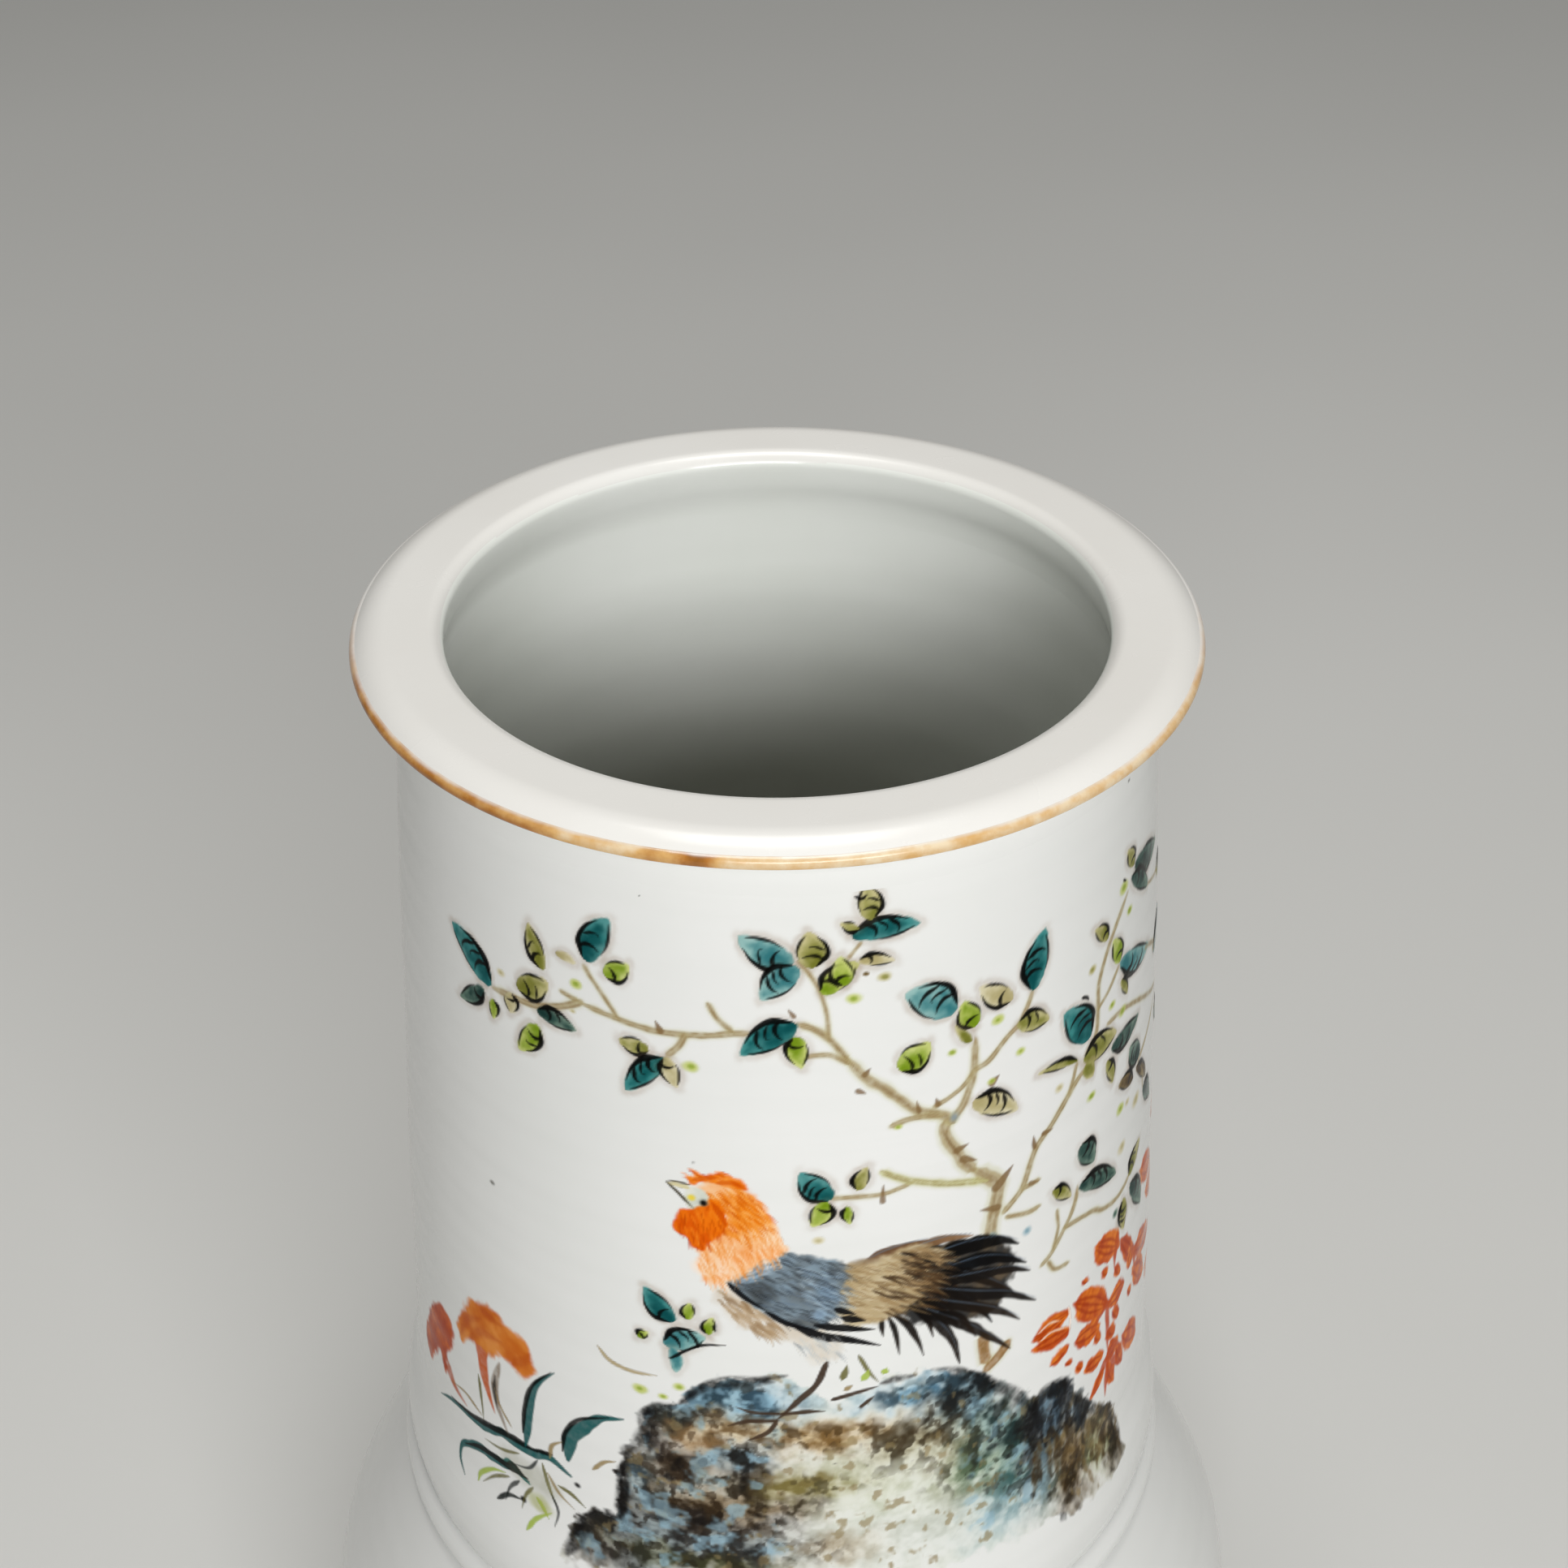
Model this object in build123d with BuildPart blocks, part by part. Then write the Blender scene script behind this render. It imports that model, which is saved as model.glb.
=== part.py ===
from build123d import *
import math
import os

# Porcelain brush pot: a nearly straight thrown cylinder with a broad everted mouth,
# string rings low on the wall and a bulging drum-shaped base on a turned foot ring.
# Millimetres, +Z up, origin on the table under the middle of the foot.

# Heights of the lute joints between the thrown sections, from the table up.
HEIGHT = 240.0
FLANGE_JOINT = 228.0
COLLAR_TOP = 103.5
BEAD_TOP = 80.5
SHOULDER_TOP = 75.5
WAIST = 38.0
BELLY_FOOT = 8.0

# Mouth and flange: rounded into the bore, level, then falling over to the lip.
MOUTH_RADIUS = 50.0
MOUTH_ROUND = 2.4
UNDERCUT_MID = (50.75, 233.0)
FLANGE_FLAT_END = 58.5
DRESSING_INNER_RADIUS = 63.1
RIM_RADIUS = 64.0
LIP_TOP = HEIGHT - 1.8
LIP_BOTTOM = HEIGHT - 3.9
FLANGE_ROOT = (61.3, 235.2)
FLANGE_COVE = (58.8, 233.9)
FLANGE_COVE_FOOT = 231.0

# Wall: outside and inside radii at the flange joint, half way and at the collar.
WALL_TOP_RADIUS = 57.8
WALL_MID_RADIUS = 60.8
WALL_FOOT_RADIUS = 63.1
BORE_TOP_RADIUS = 51.7
BORE_MID_RADIUS = 54.9
BORE_FOOT_RADIUS = 57.4

# String rings: a hollow, the collar's crest and band, then a groove and a small bead.
HOLLOW_MID = (63.7, 98.0)
CREST_START = (64.9, 94.0)
CREST_BULGE = (65.8, 87.5)
GROOVE_RADIUS = 64.9
BEAD_RADIUS = 66.8
BEAD_Z = 78.3
BEAD_FOOT_RADIUS = 66.2
RING_BORE_RADIUS = 57.8

# Drum base: one arc over the widest circle, a flatter one up to the rings.
BELLY_RADIUS = 81.4
BELLY_ARC = 35.0
BELLY_ARC_UP = 24.0
BELLY_ARC_DOWN = 48.0
SHOULDER_ARC = 150.0
BELLY_WALL = 5.5
LOWER_WALL_THINNING = 1.2

# Floor and foot ring.
FLOOR_RADIUS = 60.0
FLOOR_TOP = 14.5
FOOT_OUTER_RADIUS = 68.0
FOOT_INNER_RADIUS = 61.0
FOOT_ROUND = 1.2

wall_mid_z = (FLANGE_JOINT + COLLAR_TOP) / 2
belly_centre_r = BELLY_RADIUS - BELLY_ARC
inner_arc = BELLY_ARC - BELLY_WALL


def on_arc(radius, degrees):
    """A point of the belly's arc or of one inside it, turned up from the widest circle."""
    turn = math.radians(degrees)
    return (belly_centre_r + radius * math.cos(turn), WAIST + radius * math.sin(turn))


# The shoulder leaves the belly's arc in the same direction and ends at SHOULDER_TOP.
shoulder_centre = on_arc(BELLY_ARC - SHOULDER_ARC, BELLY_ARC_UP)
shoulder_end_turn = math.asin((SHOULDER_TOP - shoulder_centre[1]) / SHOULDER_ARC)
shoulder_mid_turn = (shoulder_end_turn + math.radians(BELLY_ARC_UP)) / 2


def on_shoulder(turn):
    """A point of the shoulder's flat arc."""
    return (
        shoulder_centre[0] + SHOULDER_ARC * math.cos(turn),
        shoulder_centre[1] + SHOULDER_ARC * math.sin(turn),
    )


# Everted mouth, thicker where it meets the wall.
with BuildPart() as mouth_flange:
    with BuildSketch(Plane.XZ):
        with BuildLine():
            round_centre = (MOUTH_RADIUS + MOUTH_ROUND, HEIGHT - MOUTH_ROUND)
            diagonal = MOUTH_ROUND * math.sqrt(0.5)
            level = Line((round_centre[0], HEIGHT), (FLANGE_FLAT_END, HEIGHT))
            fall = TangentArc(level @ 1, (DRESSING_INNER_RADIUS, LIP_TOP), tangent=(1, 0))
            edge = Line(fall @ 1, (DRESSING_INNER_RADIUS, LIP_BOTTOM))
            under = Line(edge @ 1, FLANGE_ROOT)
            cove = ThreePointArc(under @ 1, FLANGE_COVE, (WALL_TOP_RADIUS, FLANGE_COVE_FOOT))
            outside = Line(cove @ 1, (WALL_TOP_RADIUS, FLANGE_JOINT))
            joint = Line(outside @ 1, (BORE_TOP_RADIUS, FLANGE_JOINT))
            undercut = TangentArc((MOUTH_RADIUS, round_centre[1]), UNDERCUT_MID, tangent=(0, -1))
            TangentArc(undercut @ 1, joint @ 1, tangent=undercut % 1)
            ThreePointArc(
                undercut @ 0,
                (round_centre[0] - diagonal, round_centre[1] + diagonal),
                level @ 0,
            )
        make_face()
    revolve(axis=Axis.Z)
mouth_flange.part.label = "mouth_flange"

# Iron-brown dressing on the lip's edge.
with BuildPart() as lip_dressing:
    with BuildSketch(Plane.XZ):
        with BuildLine():
            back = Line((DRESSING_INNER_RADIUS, LIP_BOTTOM), (DRESSING_INNER_RADIUS, LIP_TOP))
            ThreePointArc(back @ 1, (RIM_RADIUS, (LIP_TOP + LIP_BOTTOM) / 2), back @ 0)
        make_face()
    revolve(axis=Axis.Z)
lip_dressing.part.label = "lip_dressing"

# Thrown cylinder, opening slightly towards the base with a faint swell.
with BuildPart() as body_cylinder:
    with BuildSketch(Plane.XZ):
        with BuildLine():
            outside = ThreePointArc(
                (WALL_TOP_RADIUS, FLANGE_JOINT),
                (WALL_MID_RADIUS, wall_mid_z),
                (WALL_FOOT_RADIUS, COLLAR_TOP),
            )
            foot = Line(outside @ 1, (BORE_FOOT_RADIUS, COLLAR_TOP))
            bore = ThreePointArc(
                foot @ 1,
                (BORE_MID_RADIUS, wall_mid_z),
                (BORE_TOP_RADIUS, FLANGE_JOINT),
            )
            Line(bore @ 1, outside @ 0)
        make_face()
    revolve(axis=Axis.Z)
body_cylinder.part.label = "body_cylinder"

# String-ring collar: a hollow that sweeps out to a soft crest, then a band to the groove.
with BuildPart() as ring_collar:
    with BuildSketch(Plane.XZ):
        with BuildLine():
            hollow = ThreePointArc((WALL_FOOT_RADIUS, COLLAR_TOP), HOLLOW_MID, CREST_START)
            band = ThreePointArc(hollow @ 1, CREST_BULGE, (GROOVE_RADIUS, BEAD_TOP))
            foot = Line(band @ 1, (RING_BORE_RADIUS, BEAD_TOP))
            bore = Line(foot @ 1, (BORE_FOOT_RADIUS, COLLAR_TOP))
            Line(bore @ 1, hollow @ 0)
        make_face()
    revolve(axis=Axis.Z)
ring_collar.part.label = "ring_collar"

# Small second bead between the two turned grooves.
with BuildPart() as string_bead:
    with BuildSketch(Plane.XZ):
        with BuildLine():
            bead = ThreePointArc(
                (GROOVE_RADIUS, BEAD_TOP), (BEAD_RADIUS, BEAD_Z), (BEAD_FOOT_RADIUS, SHOULDER_TOP)
            )
            foot = Line(bead @ 1, (RING_BORE_RADIUS, SHOULDER_TOP))
            bore = Line(foot @ 1, (RING_BORE_RADIUS, BEAD_TOP))
            Line(bore @ 1, bead @ 0)
        make_face()
    revolve(axis=Axis.Z)
string_bead.part.label = "string_bead"

# Upper half of the drum base, from the widest circle up to the rings.
with BuildPart() as shoulder:
    with BuildSketch(Plane.XZ):
        with BuildLine():
            belly = ThreePointArc(
                (BELLY_RADIUS, WAIST),
                on_arc(BELLY_ARC, BELLY_ARC_UP / 2),
                on_arc(BELLY_ARC, BELLY_ARC_UP),
            )
            slope = ThreePointArc(
                belly @ 1, on_shoulder(shoulder_mid_turn), on_shoulder(shoulder_end_turn)
            )
            top = Line(slope @ 1, (RING_BORE_RADIUS, SHOULDER_TOP))
            inside = Line(top @ 1, on_arc(inner_arc, BELLY_ARC_UP))
            inner_belly = ThreePointArc(
                inside @ 1,
                on_arc(inner_arc, BELLY_ARC_UP / 2),
                on_arc(inner_arc, 0),
            )
            Line(inner_belly @ 1, belly @ 0)
        make_face()
    revolve(axis=Axis.Z)
shoulder.part.label = "shoulder"

# Lower half of the drum base, drawn in to the foot.
with BuildPart() as lower_belly:
    with BuildSketch(Plane.XZ):
        with BuildLine():
            belly = ThreePointArc(
                (BELLY_RADIUS, WAIST),
                on_arc(BELLY_ARC, -BELLY_ARC_DOWN / 2),
                on_arc(BELLY_ARC, -BELLY_ARC_DOWN),
            )
            step = Line(belly @ 1, (FOOT_OUTER_RADIUS, BELLY_FOOT))
            base = Line(step @ 1, (FLOOR_RADIUS, BELLY_FOOT))
            joint = Line(base @ 1, (FLOOR_RADIUS, FLOOR_TOP))
            inside = ThreePointArc(
                joint @ 1,
                on_arc(inner_arc + LOWER_WALL_THINNING, -BELLY_ARC_DOWN / 2),
                on_arc(inner_arc, 0),
            )
            Line(inside @ 1, belly @ 0)
        make_face()
    revolve(axis=Axis.Z)
lower_belly.part.label = "lower_belly"

# Floor of the pot, luted inside the lower belly.
with BuildPart() as floor_disc:
    with BuildSketch(Plane.XY.offset(BELLY_FOOT)):
        Circle(FLOOR_RADIUS)
    extrude(amount=FLOOR_TOP - BELLY_FOOT)
floor_disc.part.label = "floor_disc"

# Turned foot ring with an unglazed bearing edge.
with BuildPart() as foot_ring:
    with BuildSketch(Plane.XY):
        Circle(FOOT_OUTER_RADIUS)
        Circle(FOOT_INNER_RADIUS, mode=Mode.SUBTRACT)
    extrude(amount=BELLY_FOOT)
    fillet(foot_ring.edges().group_by(Axis.Z)[0], radius=FOOT_ROUND)
foot_ring.part.label = "foot_ring"

sections = (
    mouth_flange,
    lip_dressing,
    body_cylinder,
    ring_collar,
    string_bead,
    shoulder,
    lower_belly,
    floor_disc,
    foot_ring,
)
os.makedirs("parts", exist_ok=True)
for section in sections:
    export_step(section.part, f"parts/{section.part.label}.step")
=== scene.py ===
import math

import bpy
import numpy as np
from mathutils import Matrix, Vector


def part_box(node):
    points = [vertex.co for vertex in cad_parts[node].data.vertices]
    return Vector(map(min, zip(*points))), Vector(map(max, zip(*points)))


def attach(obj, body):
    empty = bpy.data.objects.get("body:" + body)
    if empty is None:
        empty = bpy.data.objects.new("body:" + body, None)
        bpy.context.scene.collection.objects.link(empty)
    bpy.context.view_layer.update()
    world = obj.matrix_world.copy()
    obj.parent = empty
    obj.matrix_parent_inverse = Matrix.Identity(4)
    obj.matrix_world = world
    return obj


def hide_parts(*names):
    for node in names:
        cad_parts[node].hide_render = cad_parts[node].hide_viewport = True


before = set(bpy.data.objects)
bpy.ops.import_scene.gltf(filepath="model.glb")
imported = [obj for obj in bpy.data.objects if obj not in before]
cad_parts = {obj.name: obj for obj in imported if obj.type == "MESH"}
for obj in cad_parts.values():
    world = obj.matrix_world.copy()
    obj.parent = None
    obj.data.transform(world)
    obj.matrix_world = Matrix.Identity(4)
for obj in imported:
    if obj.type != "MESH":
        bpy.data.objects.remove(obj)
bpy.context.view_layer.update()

MM = 0.001


# Sizes of the pot, in millimetres, read from the frame ---------------------------------


def top(node):
    """The height of a node's top."""
    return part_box(node)[1][2] / MM


def bottom(node):
    """The height of a node's bottom."""
    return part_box(node)[0][2] / MM


def radius(node):
    """A node's widest radius."""
    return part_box(node)[1][0] / MM


HEIGHT = top("mouth_flange")
FLANGE_JOINT = bottom("mouth_flange")
COLLAR_TOP = top("ring_collar")
BEAD_TOP = top("string_bead")
SHOULDER_TOP = top("shoulder")
WAIST = bottom("shoulder")
BELLY_FOOT = bottom("lower_belly")
FLOOR_TOP = top("floor_disc")
LIP_TOP = top("lip_dressing")
LIP_BOTTOM = bottom("lip_dressing")

DRESSING_INNER = radius("mouth_flange")
RIM = radius("lip_dressing")
WALL_FOOT = radius("body_cylinder")
BELLY = radius("shoulder")
FLOOR = radius("floor_disc")
FOOT = radius("foot_ring")

# Sizes inside the nodes' boxes, as the sections are thrown.
MOUTH = 50.0
MOUTH_ROUND = 2.4
UNDERCUT_MID = (50.75, HEIGHT - 7.0)
FLANGE_FLAT_END = 58.5
FLANGE_ROOT = (61.3, HEIGHT - 4.8)
FLANGE_COVE = (58.8, HEIGHT - 6.1)
FLANGE_COVE_FOOT = HEIGHT - 9.0
WALL_TOP = 57.8
WALL_MID = 60.8
WALL_MID_Z = (FLANGE_JOINT + COLLAR_TOP) / 2
BORE_TOP = 51.7
BORE_MID = 54.9
BORE_FOOT = 57.4
HOLLOW_MID = (63.7, COLLAR_TOP - 5.5)
CREST_START = (64.9, COLLAR_TOP - 9.5)
CREST_BULGE = (65.8, COLLAR_TOP - 16.0)
GROOVE = 64.9
BEAD = 66.8
BEAD_MIDDLE = BEAD_TOP - 2.2
BEAD_FOOT = 66.2
RING_BORE = 57.8
BELLY_ARC = 35.0
BELLY_ARC_UP = 24.0
BELLY_ARC_DOWN = 48.0
SHOULDER_ARC = 150.0
BELLY_WALL = 5.5
LOWER_WALL_THINNING = 1.2
FOOT_INNER = 61.0
FOOT_ROUND = 1.2

# The painted field: s runs along the wall to the right of the front, at PAINT_RADIUS.
PAINT_RADIUS = 60.0
PAINT_LEFT = -84.0
PAINT_RIGHT = 104.0
PAINT_STEP = 0.25
BACK_STEP = 2.0


# Outlines -------------------------------------------------------------------------------


def arc(a, b, c, count):
    """count + 1 points on the circle from a through b to c."""
    a, b, c = (np.array(p, float) for p in (a, b, c))
    twice_area = 2 * ((b - a)[0] * (c - a)[1] - (b - a)[1] * (c - a)[0])
    ab, ac = (b - a) @ (b - a), (c - a) @ (c - a)
    across, up = (c - a)[1] * ab - (b - a)[1] * ac, (b - a)[0] * ac - (c - a)[0] * ab
    centre = a + np.array([across, up]) / twice_area
    size = math.hypot(*(a - centre))
    start = math.atan2(*(a - centre)[::-1])
    middle = (math.atan2(*(b - centre)[::-1]) - start) % math.tau
    end = (math.atan2(*(c - centre)[::-1]) - start) % math.tau
    if middle > end:
        end -= math.tau
    turns = start + np.linspace(0, end, count + 1)
    return [(centre[0] + size * math.cos(t), centre[1] + size * math.sin(t)) for t in turns]


def line(a, b, count=1):
    """count + 1 points from a to b."""
    dr, dz = b[0] - a[0], b[1] - a[1]
    return [(a[0] + dr * k / count, a[1] + dz * k / count) for k in range(count + 1)]


def joined(*runs):
    """One list of points from runs that meet end to end."""
    points = list(runs[0])
    for run in runs[1:]:
        points += run[1:]
    return points


def tangent_arc(a, c, heading, count):
    """The arc that leaves a in the direction heading and ends at c."""
    a, c, heading = (np.array(p, float) for p in (a, c, heading))
    heading = heading / np.hypot(*heading)
    chord = (c - a) / np.hypot(*(c - a))
    middle_heading = heading + chord
    middle_heading /= np.hypot(*middle_heading)
    reach = np.hypot(*(c - a)) / 2 / (chord @ middle_heading)
    return arc(a, a + middle_heading * reach, c, count)


def wall_radius(z):
    """The wall's outside radius at a height, on the arc through its three radii."""
    points = arc((WALL_TOP, FLANGE_JOINT), (WALL_MID, WALL_MID_Z), (WALL_FOOT, COLLAR_TOP), 64)
    r, height = np.array(points).T
    return np.interp(z, height[::-1], r[::-1])


def collar_outline(count):
    """The string-ring collar's outside, from the wall down to the groove."""
    hollow = arc((WALL_FOOT, COLLAR_TOP), HOLLOW_MID, CREST_START, count)
    band = arc(CREST_START, CREST_BULGE, (GROOVE, BEAD_TOP), count)
    return joined(hollow, band)


def collar_radius(z):
    """The collar's outside radius at a height."""
    r, height = np.array(collar_outline(60)).T
    return np.interp(z, height[::-1], r[::-1])


belly_centre = BELLY - BELLY_ARC
inner_arc = BELLY_ARC - BELLY_WALL


def on_arc(size, degrees):
    """A point of the belly's arc or of one inside it, turned up from the widest circle."""
    turn = math.radians(degrees)
    return (belly_centre + size * math.cos(turn), WAIST + size * math.sin(turn))


# Painting -------------------------------------------------------------------------------


def linear(colour):
    """Scene-linear values of a colour given as 0 to 255."""
    c = np.array(colour, float) / 255
    return np.where(c <= 0.04045, c / 12.92, ((c + 0.055) / 1.055) ** 2.4)


def shade(colour):
    """A colour given as 0 to 255, as the canvas mixes it."""
    return np.array(colour, float) / 255


LATTICE = np.random.default_rng(11).random((256, 256))


def noise(x, y, size, seed=0):
    """Smooth noise from 0 to 1 whose cells are size millimetres."""
    x, y = x / size + seed * 17.3, y / size + seed * 9.1
    column, row = np.floor(x).astype(int), np.floor(y).astype(int)
    u, v = x - column, y - row
    u, v = u * u * (3 - 2 * u), v * v * (3 - 2 * v)
    c0, c1, r0, r1 = column & 255, (column + 1) & 255, row & 255, (row + 1) & 255
    low = LATTICE[r0, c0] * (1 - u) + LATTICE[r0, c1] * u
    high = LATTICE[r1, c0] * (1 - u) + LATTICE[r1, c1] * u
    return low * (1 - v) + high * v


def layered(x, y, size, seed=0):
    """Noise with finer noise on it, still from 0 to 1."""
    total = noise(x, y, size, seed)
    total = total + 0.5 * noise(x, y, size / 2.1, seed + 1)
    total = total + 0.25 * noise(x, y, size / 4.3, seed + 2)
    return total / 1.75


def step(x):
    """A soft step from 0 to 1 as x goes from 0 to 1."""
    x = np.clip(x, 0, 1)
    return x * x * (3 - 2 * x)


def curve(points, per_span=7):
    """Points on a smooth line through the given ones."""
    p = np.array(points, float)
    if len(p) == 2:
        t = np.linspace(0, 1, 5)[:, None]
        return p[0] * (1 - t) + p[1] * t
    p = np.vstack([2 * p[0] - p[1], p, 2 * p[-1] - p[-2]])
    out = []
    for k in range(1, len(p) - 2):
        a, b, c, d = p[k - 1 : k + 3]
        square, cube = 2 * a - 5 * b + 4 * c - d, 3 * b - a - 3 * c + d
        for t in np.arange(per_span) / per_span:
            out.append(0.5 * (2 * b + (c - a) * t + square * t**2 + cube * t**3))
    out.append(p[-2])
    return np.array(out)


class Canvas:
    """The enamels on the wall: colour, how much they cover and how thick they lie, in mm."""

    def __init__(self, s, h):
        self.s, self.h = s, h
        self.colour = np.zeros((len(h), len(s), 3))
        self.cover = np.zeros((len(h), len(s)))
        self.relief = np.zeros((len(h), len(s)))
        self.draw = np.random.default_rng(5)

    def pick(self, hues):
        """One of the colours, at random."""
        return hues[int(self.draw.integers(len(hues)))]

    def near(self, points, reach):
        """The part of the canvas within reach of the points, with its s and h."""
        low, high = np.min(points, axis=0) - reach, np.max(points, axis=0) + reach
        columns = slice(*np.searchsorted(self.s, (low[0], high[0])))
        rows = slice(*np.searchsorted(self.h, (low[1], high[1])))
        s, h = np.meshgrid(self.s[columns], self.h[rows])
        return (rows, columns), s, h

    def lay(self, part, alpha, colour, thick=0.0):
        """Lays one coat over what is there."""
        under = self.cover[part] * (1 - alpha)
        total = alpha + under
        safe = np.maximum(total, 1e-6)[..., None]
        blend = colour * alpha[..., None] + self.colour[part] * under[..., None]
        self.colour[part] = blend / safe
        self.cover[part] = total
        self.relief[part] = np.maximum(self.relief[part], alpha * thick)

    def distances(self, points, s, h):
        """Distance to a line, how far along it and on which side, for each place."""
        steps = np.diff(points, axis=0)
        sizes = np.maximum(np.hypot(*steps.T), 1e-6)
        before = np.concatenate([[0], np.cumsum(sizes)])
        best = np.full(s.shape, np.inf)
        along, side = np.zeros(s.shape), np.zeros(s.shape)
        for k, (ds, dh) in enumerate(steps):
            rs, rh = s - points[k][0], h - points[k][1]
            t = np.clip((rs * ds + rh * dh) / sizes[k] ** 2, 0, 1)
            away = np.hypot(rs - t * ds, rh - t * dh)
            closer = away < best
            best = np.where(closer, away, best)
            along = np.where(closer, (before[k] + t * sizes[k]) / before[-1], along)
            side = np.where(closer, np.sign(rh * ds - rs * dh), side)
        return best, along, side

    def stroke(self, points, width, colour, alpha=1.0, soft=0.3, taper=(0.15, 0.35), dry=0.15,
        thick=0.0, end=None):
        """A brush stroke along a smooth line. It swells in and thins out over taper."""
        path = curve(points)
        part, s, h = self.near(path, width / 2 + soft + 0.3)
        away, along, _ = self.distances(path, s, h)
        full = np.minimum((along + 0.02) / (taper[0] + 0.02), 1) ** 0.6
        full = full * np.minimum((1.02 - along) / (taper[1] + 0.02), 1) ** 0.8
        half = width / 2 * full * (0.85 + 0.3 * noise(s, h, 1.6, 3))
        a = step((half - away) / soft + 0.5) * alpha * (1 - dry * layered(s, h, 0.9, 4))
        tint = shade(colour)
        if end is not None:
            tint = tint + (shade(end) - tint) * along[..., None]
        self.lay(part, a, tint, thick)

    def depth(self, path, s, h, ragged, seed):
        """How deep each place lies inside a closed line, with an uneven edge."""
        away, _, _ = self.distances(path, s, h)
        inside = np.zeros(s.shape, bool)
        for (s0, h0), (s1, h1) in zip(path[:-1], path[1:]):
            if h0 != h1:
                crosses = ((h0 > h) != (h1 > h)) & (s < (s1 - s0) * (h - h0) / (h1 - h0) + s0)
                inside ^= crosses
        return np.where(inside, away, -away) + ragged * (layered(s, h, 1.8, seed + 6) - 0.5) * 2

    def patch(self, outline, colours, alpha=1.0, soft=0.6, ragged=0.8, grain=2.5, seed=0,
        thick=0.0):
        """A closed shape with an uneven edge, mottled between two colours."""
        path = curve(list(outline) + [outline[0]], 5)
        part, s, h = self.near(path, soft + ragged + 0.3)
        a = step(self.depth(path, s, h, ragged, seed) / soft + 0.5) * alpha
        blend = step(1.6 * layered(s, h, grain, seed) - 0.3)[..., None]
        self.lay(part, a, shade(colours[0]) * (1 - blend) + shade(colours[1]) * blend, thick)

    def wash(self, s0, h0, wide, high, colour, alpha, tilt=0.0, seed=0):
        """A soft-edged pool of thin colour."""
        reach = max(wide, high) * 1.3
        part, s, h = self.near(np.array([[s0, h0]]), reach)
        turn = math.radians(tilt)
        u = ((s - s0) * math.cos(turn) + (h - h0) * math.sin(turn)) / wide
        v = ((h - h0) * math.cos(turn) - (s - s0) * math.sin(turn)) / high
        away = np.hypot(u, v) + 0.7 * (layered(s, h, 4.0, seed + 20) - 0.5)
        a = step((1 - away) / 0.7) * alpha * (0.65 + 0.5 * layered(s, h, 1.7, seed + 31))
        self.lay(part, np.clip(a, 0, 1), shade(colour))


# The enamels and inks, 0 to 255. A pair is the enamel pooled and thinned out.
INK = (4, 3, 2)
TEAL = ((4, 74, 76), (62, 140, 138))
MIST = ((46, 112, 118), (146, 186, 182))
OLIVE = ((112, 114, 40), (192, 184, 132))
LIME = ((112, 140, 22), (194, 202, 118))
SAND = ((172, 160, 112), (212, 204, 170))
SLATE = ((24, 54, 50), (112, 138, 122))
BROWN = ((62, 44, 20), (128, 108, 66))
TWIG = (172, 154, 114)
TWIG_DEEP = (124, 96, 60)
TWIG_GREEN = (192, 190, 132)
CORAL = ((188, 70, 0), (228, 122, 22))
RUST = (156, 44, 0)
HALO = (162, 138, 112)
SEPIA = (46, 34, 24)
BLADE = (34, 40, 38)
MOSS = (112, 108, 62)
OCHRE = (156, 136, 96)

# How far a leaf bows, as a share of its length.
LEAF_BEND = 0.05


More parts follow.
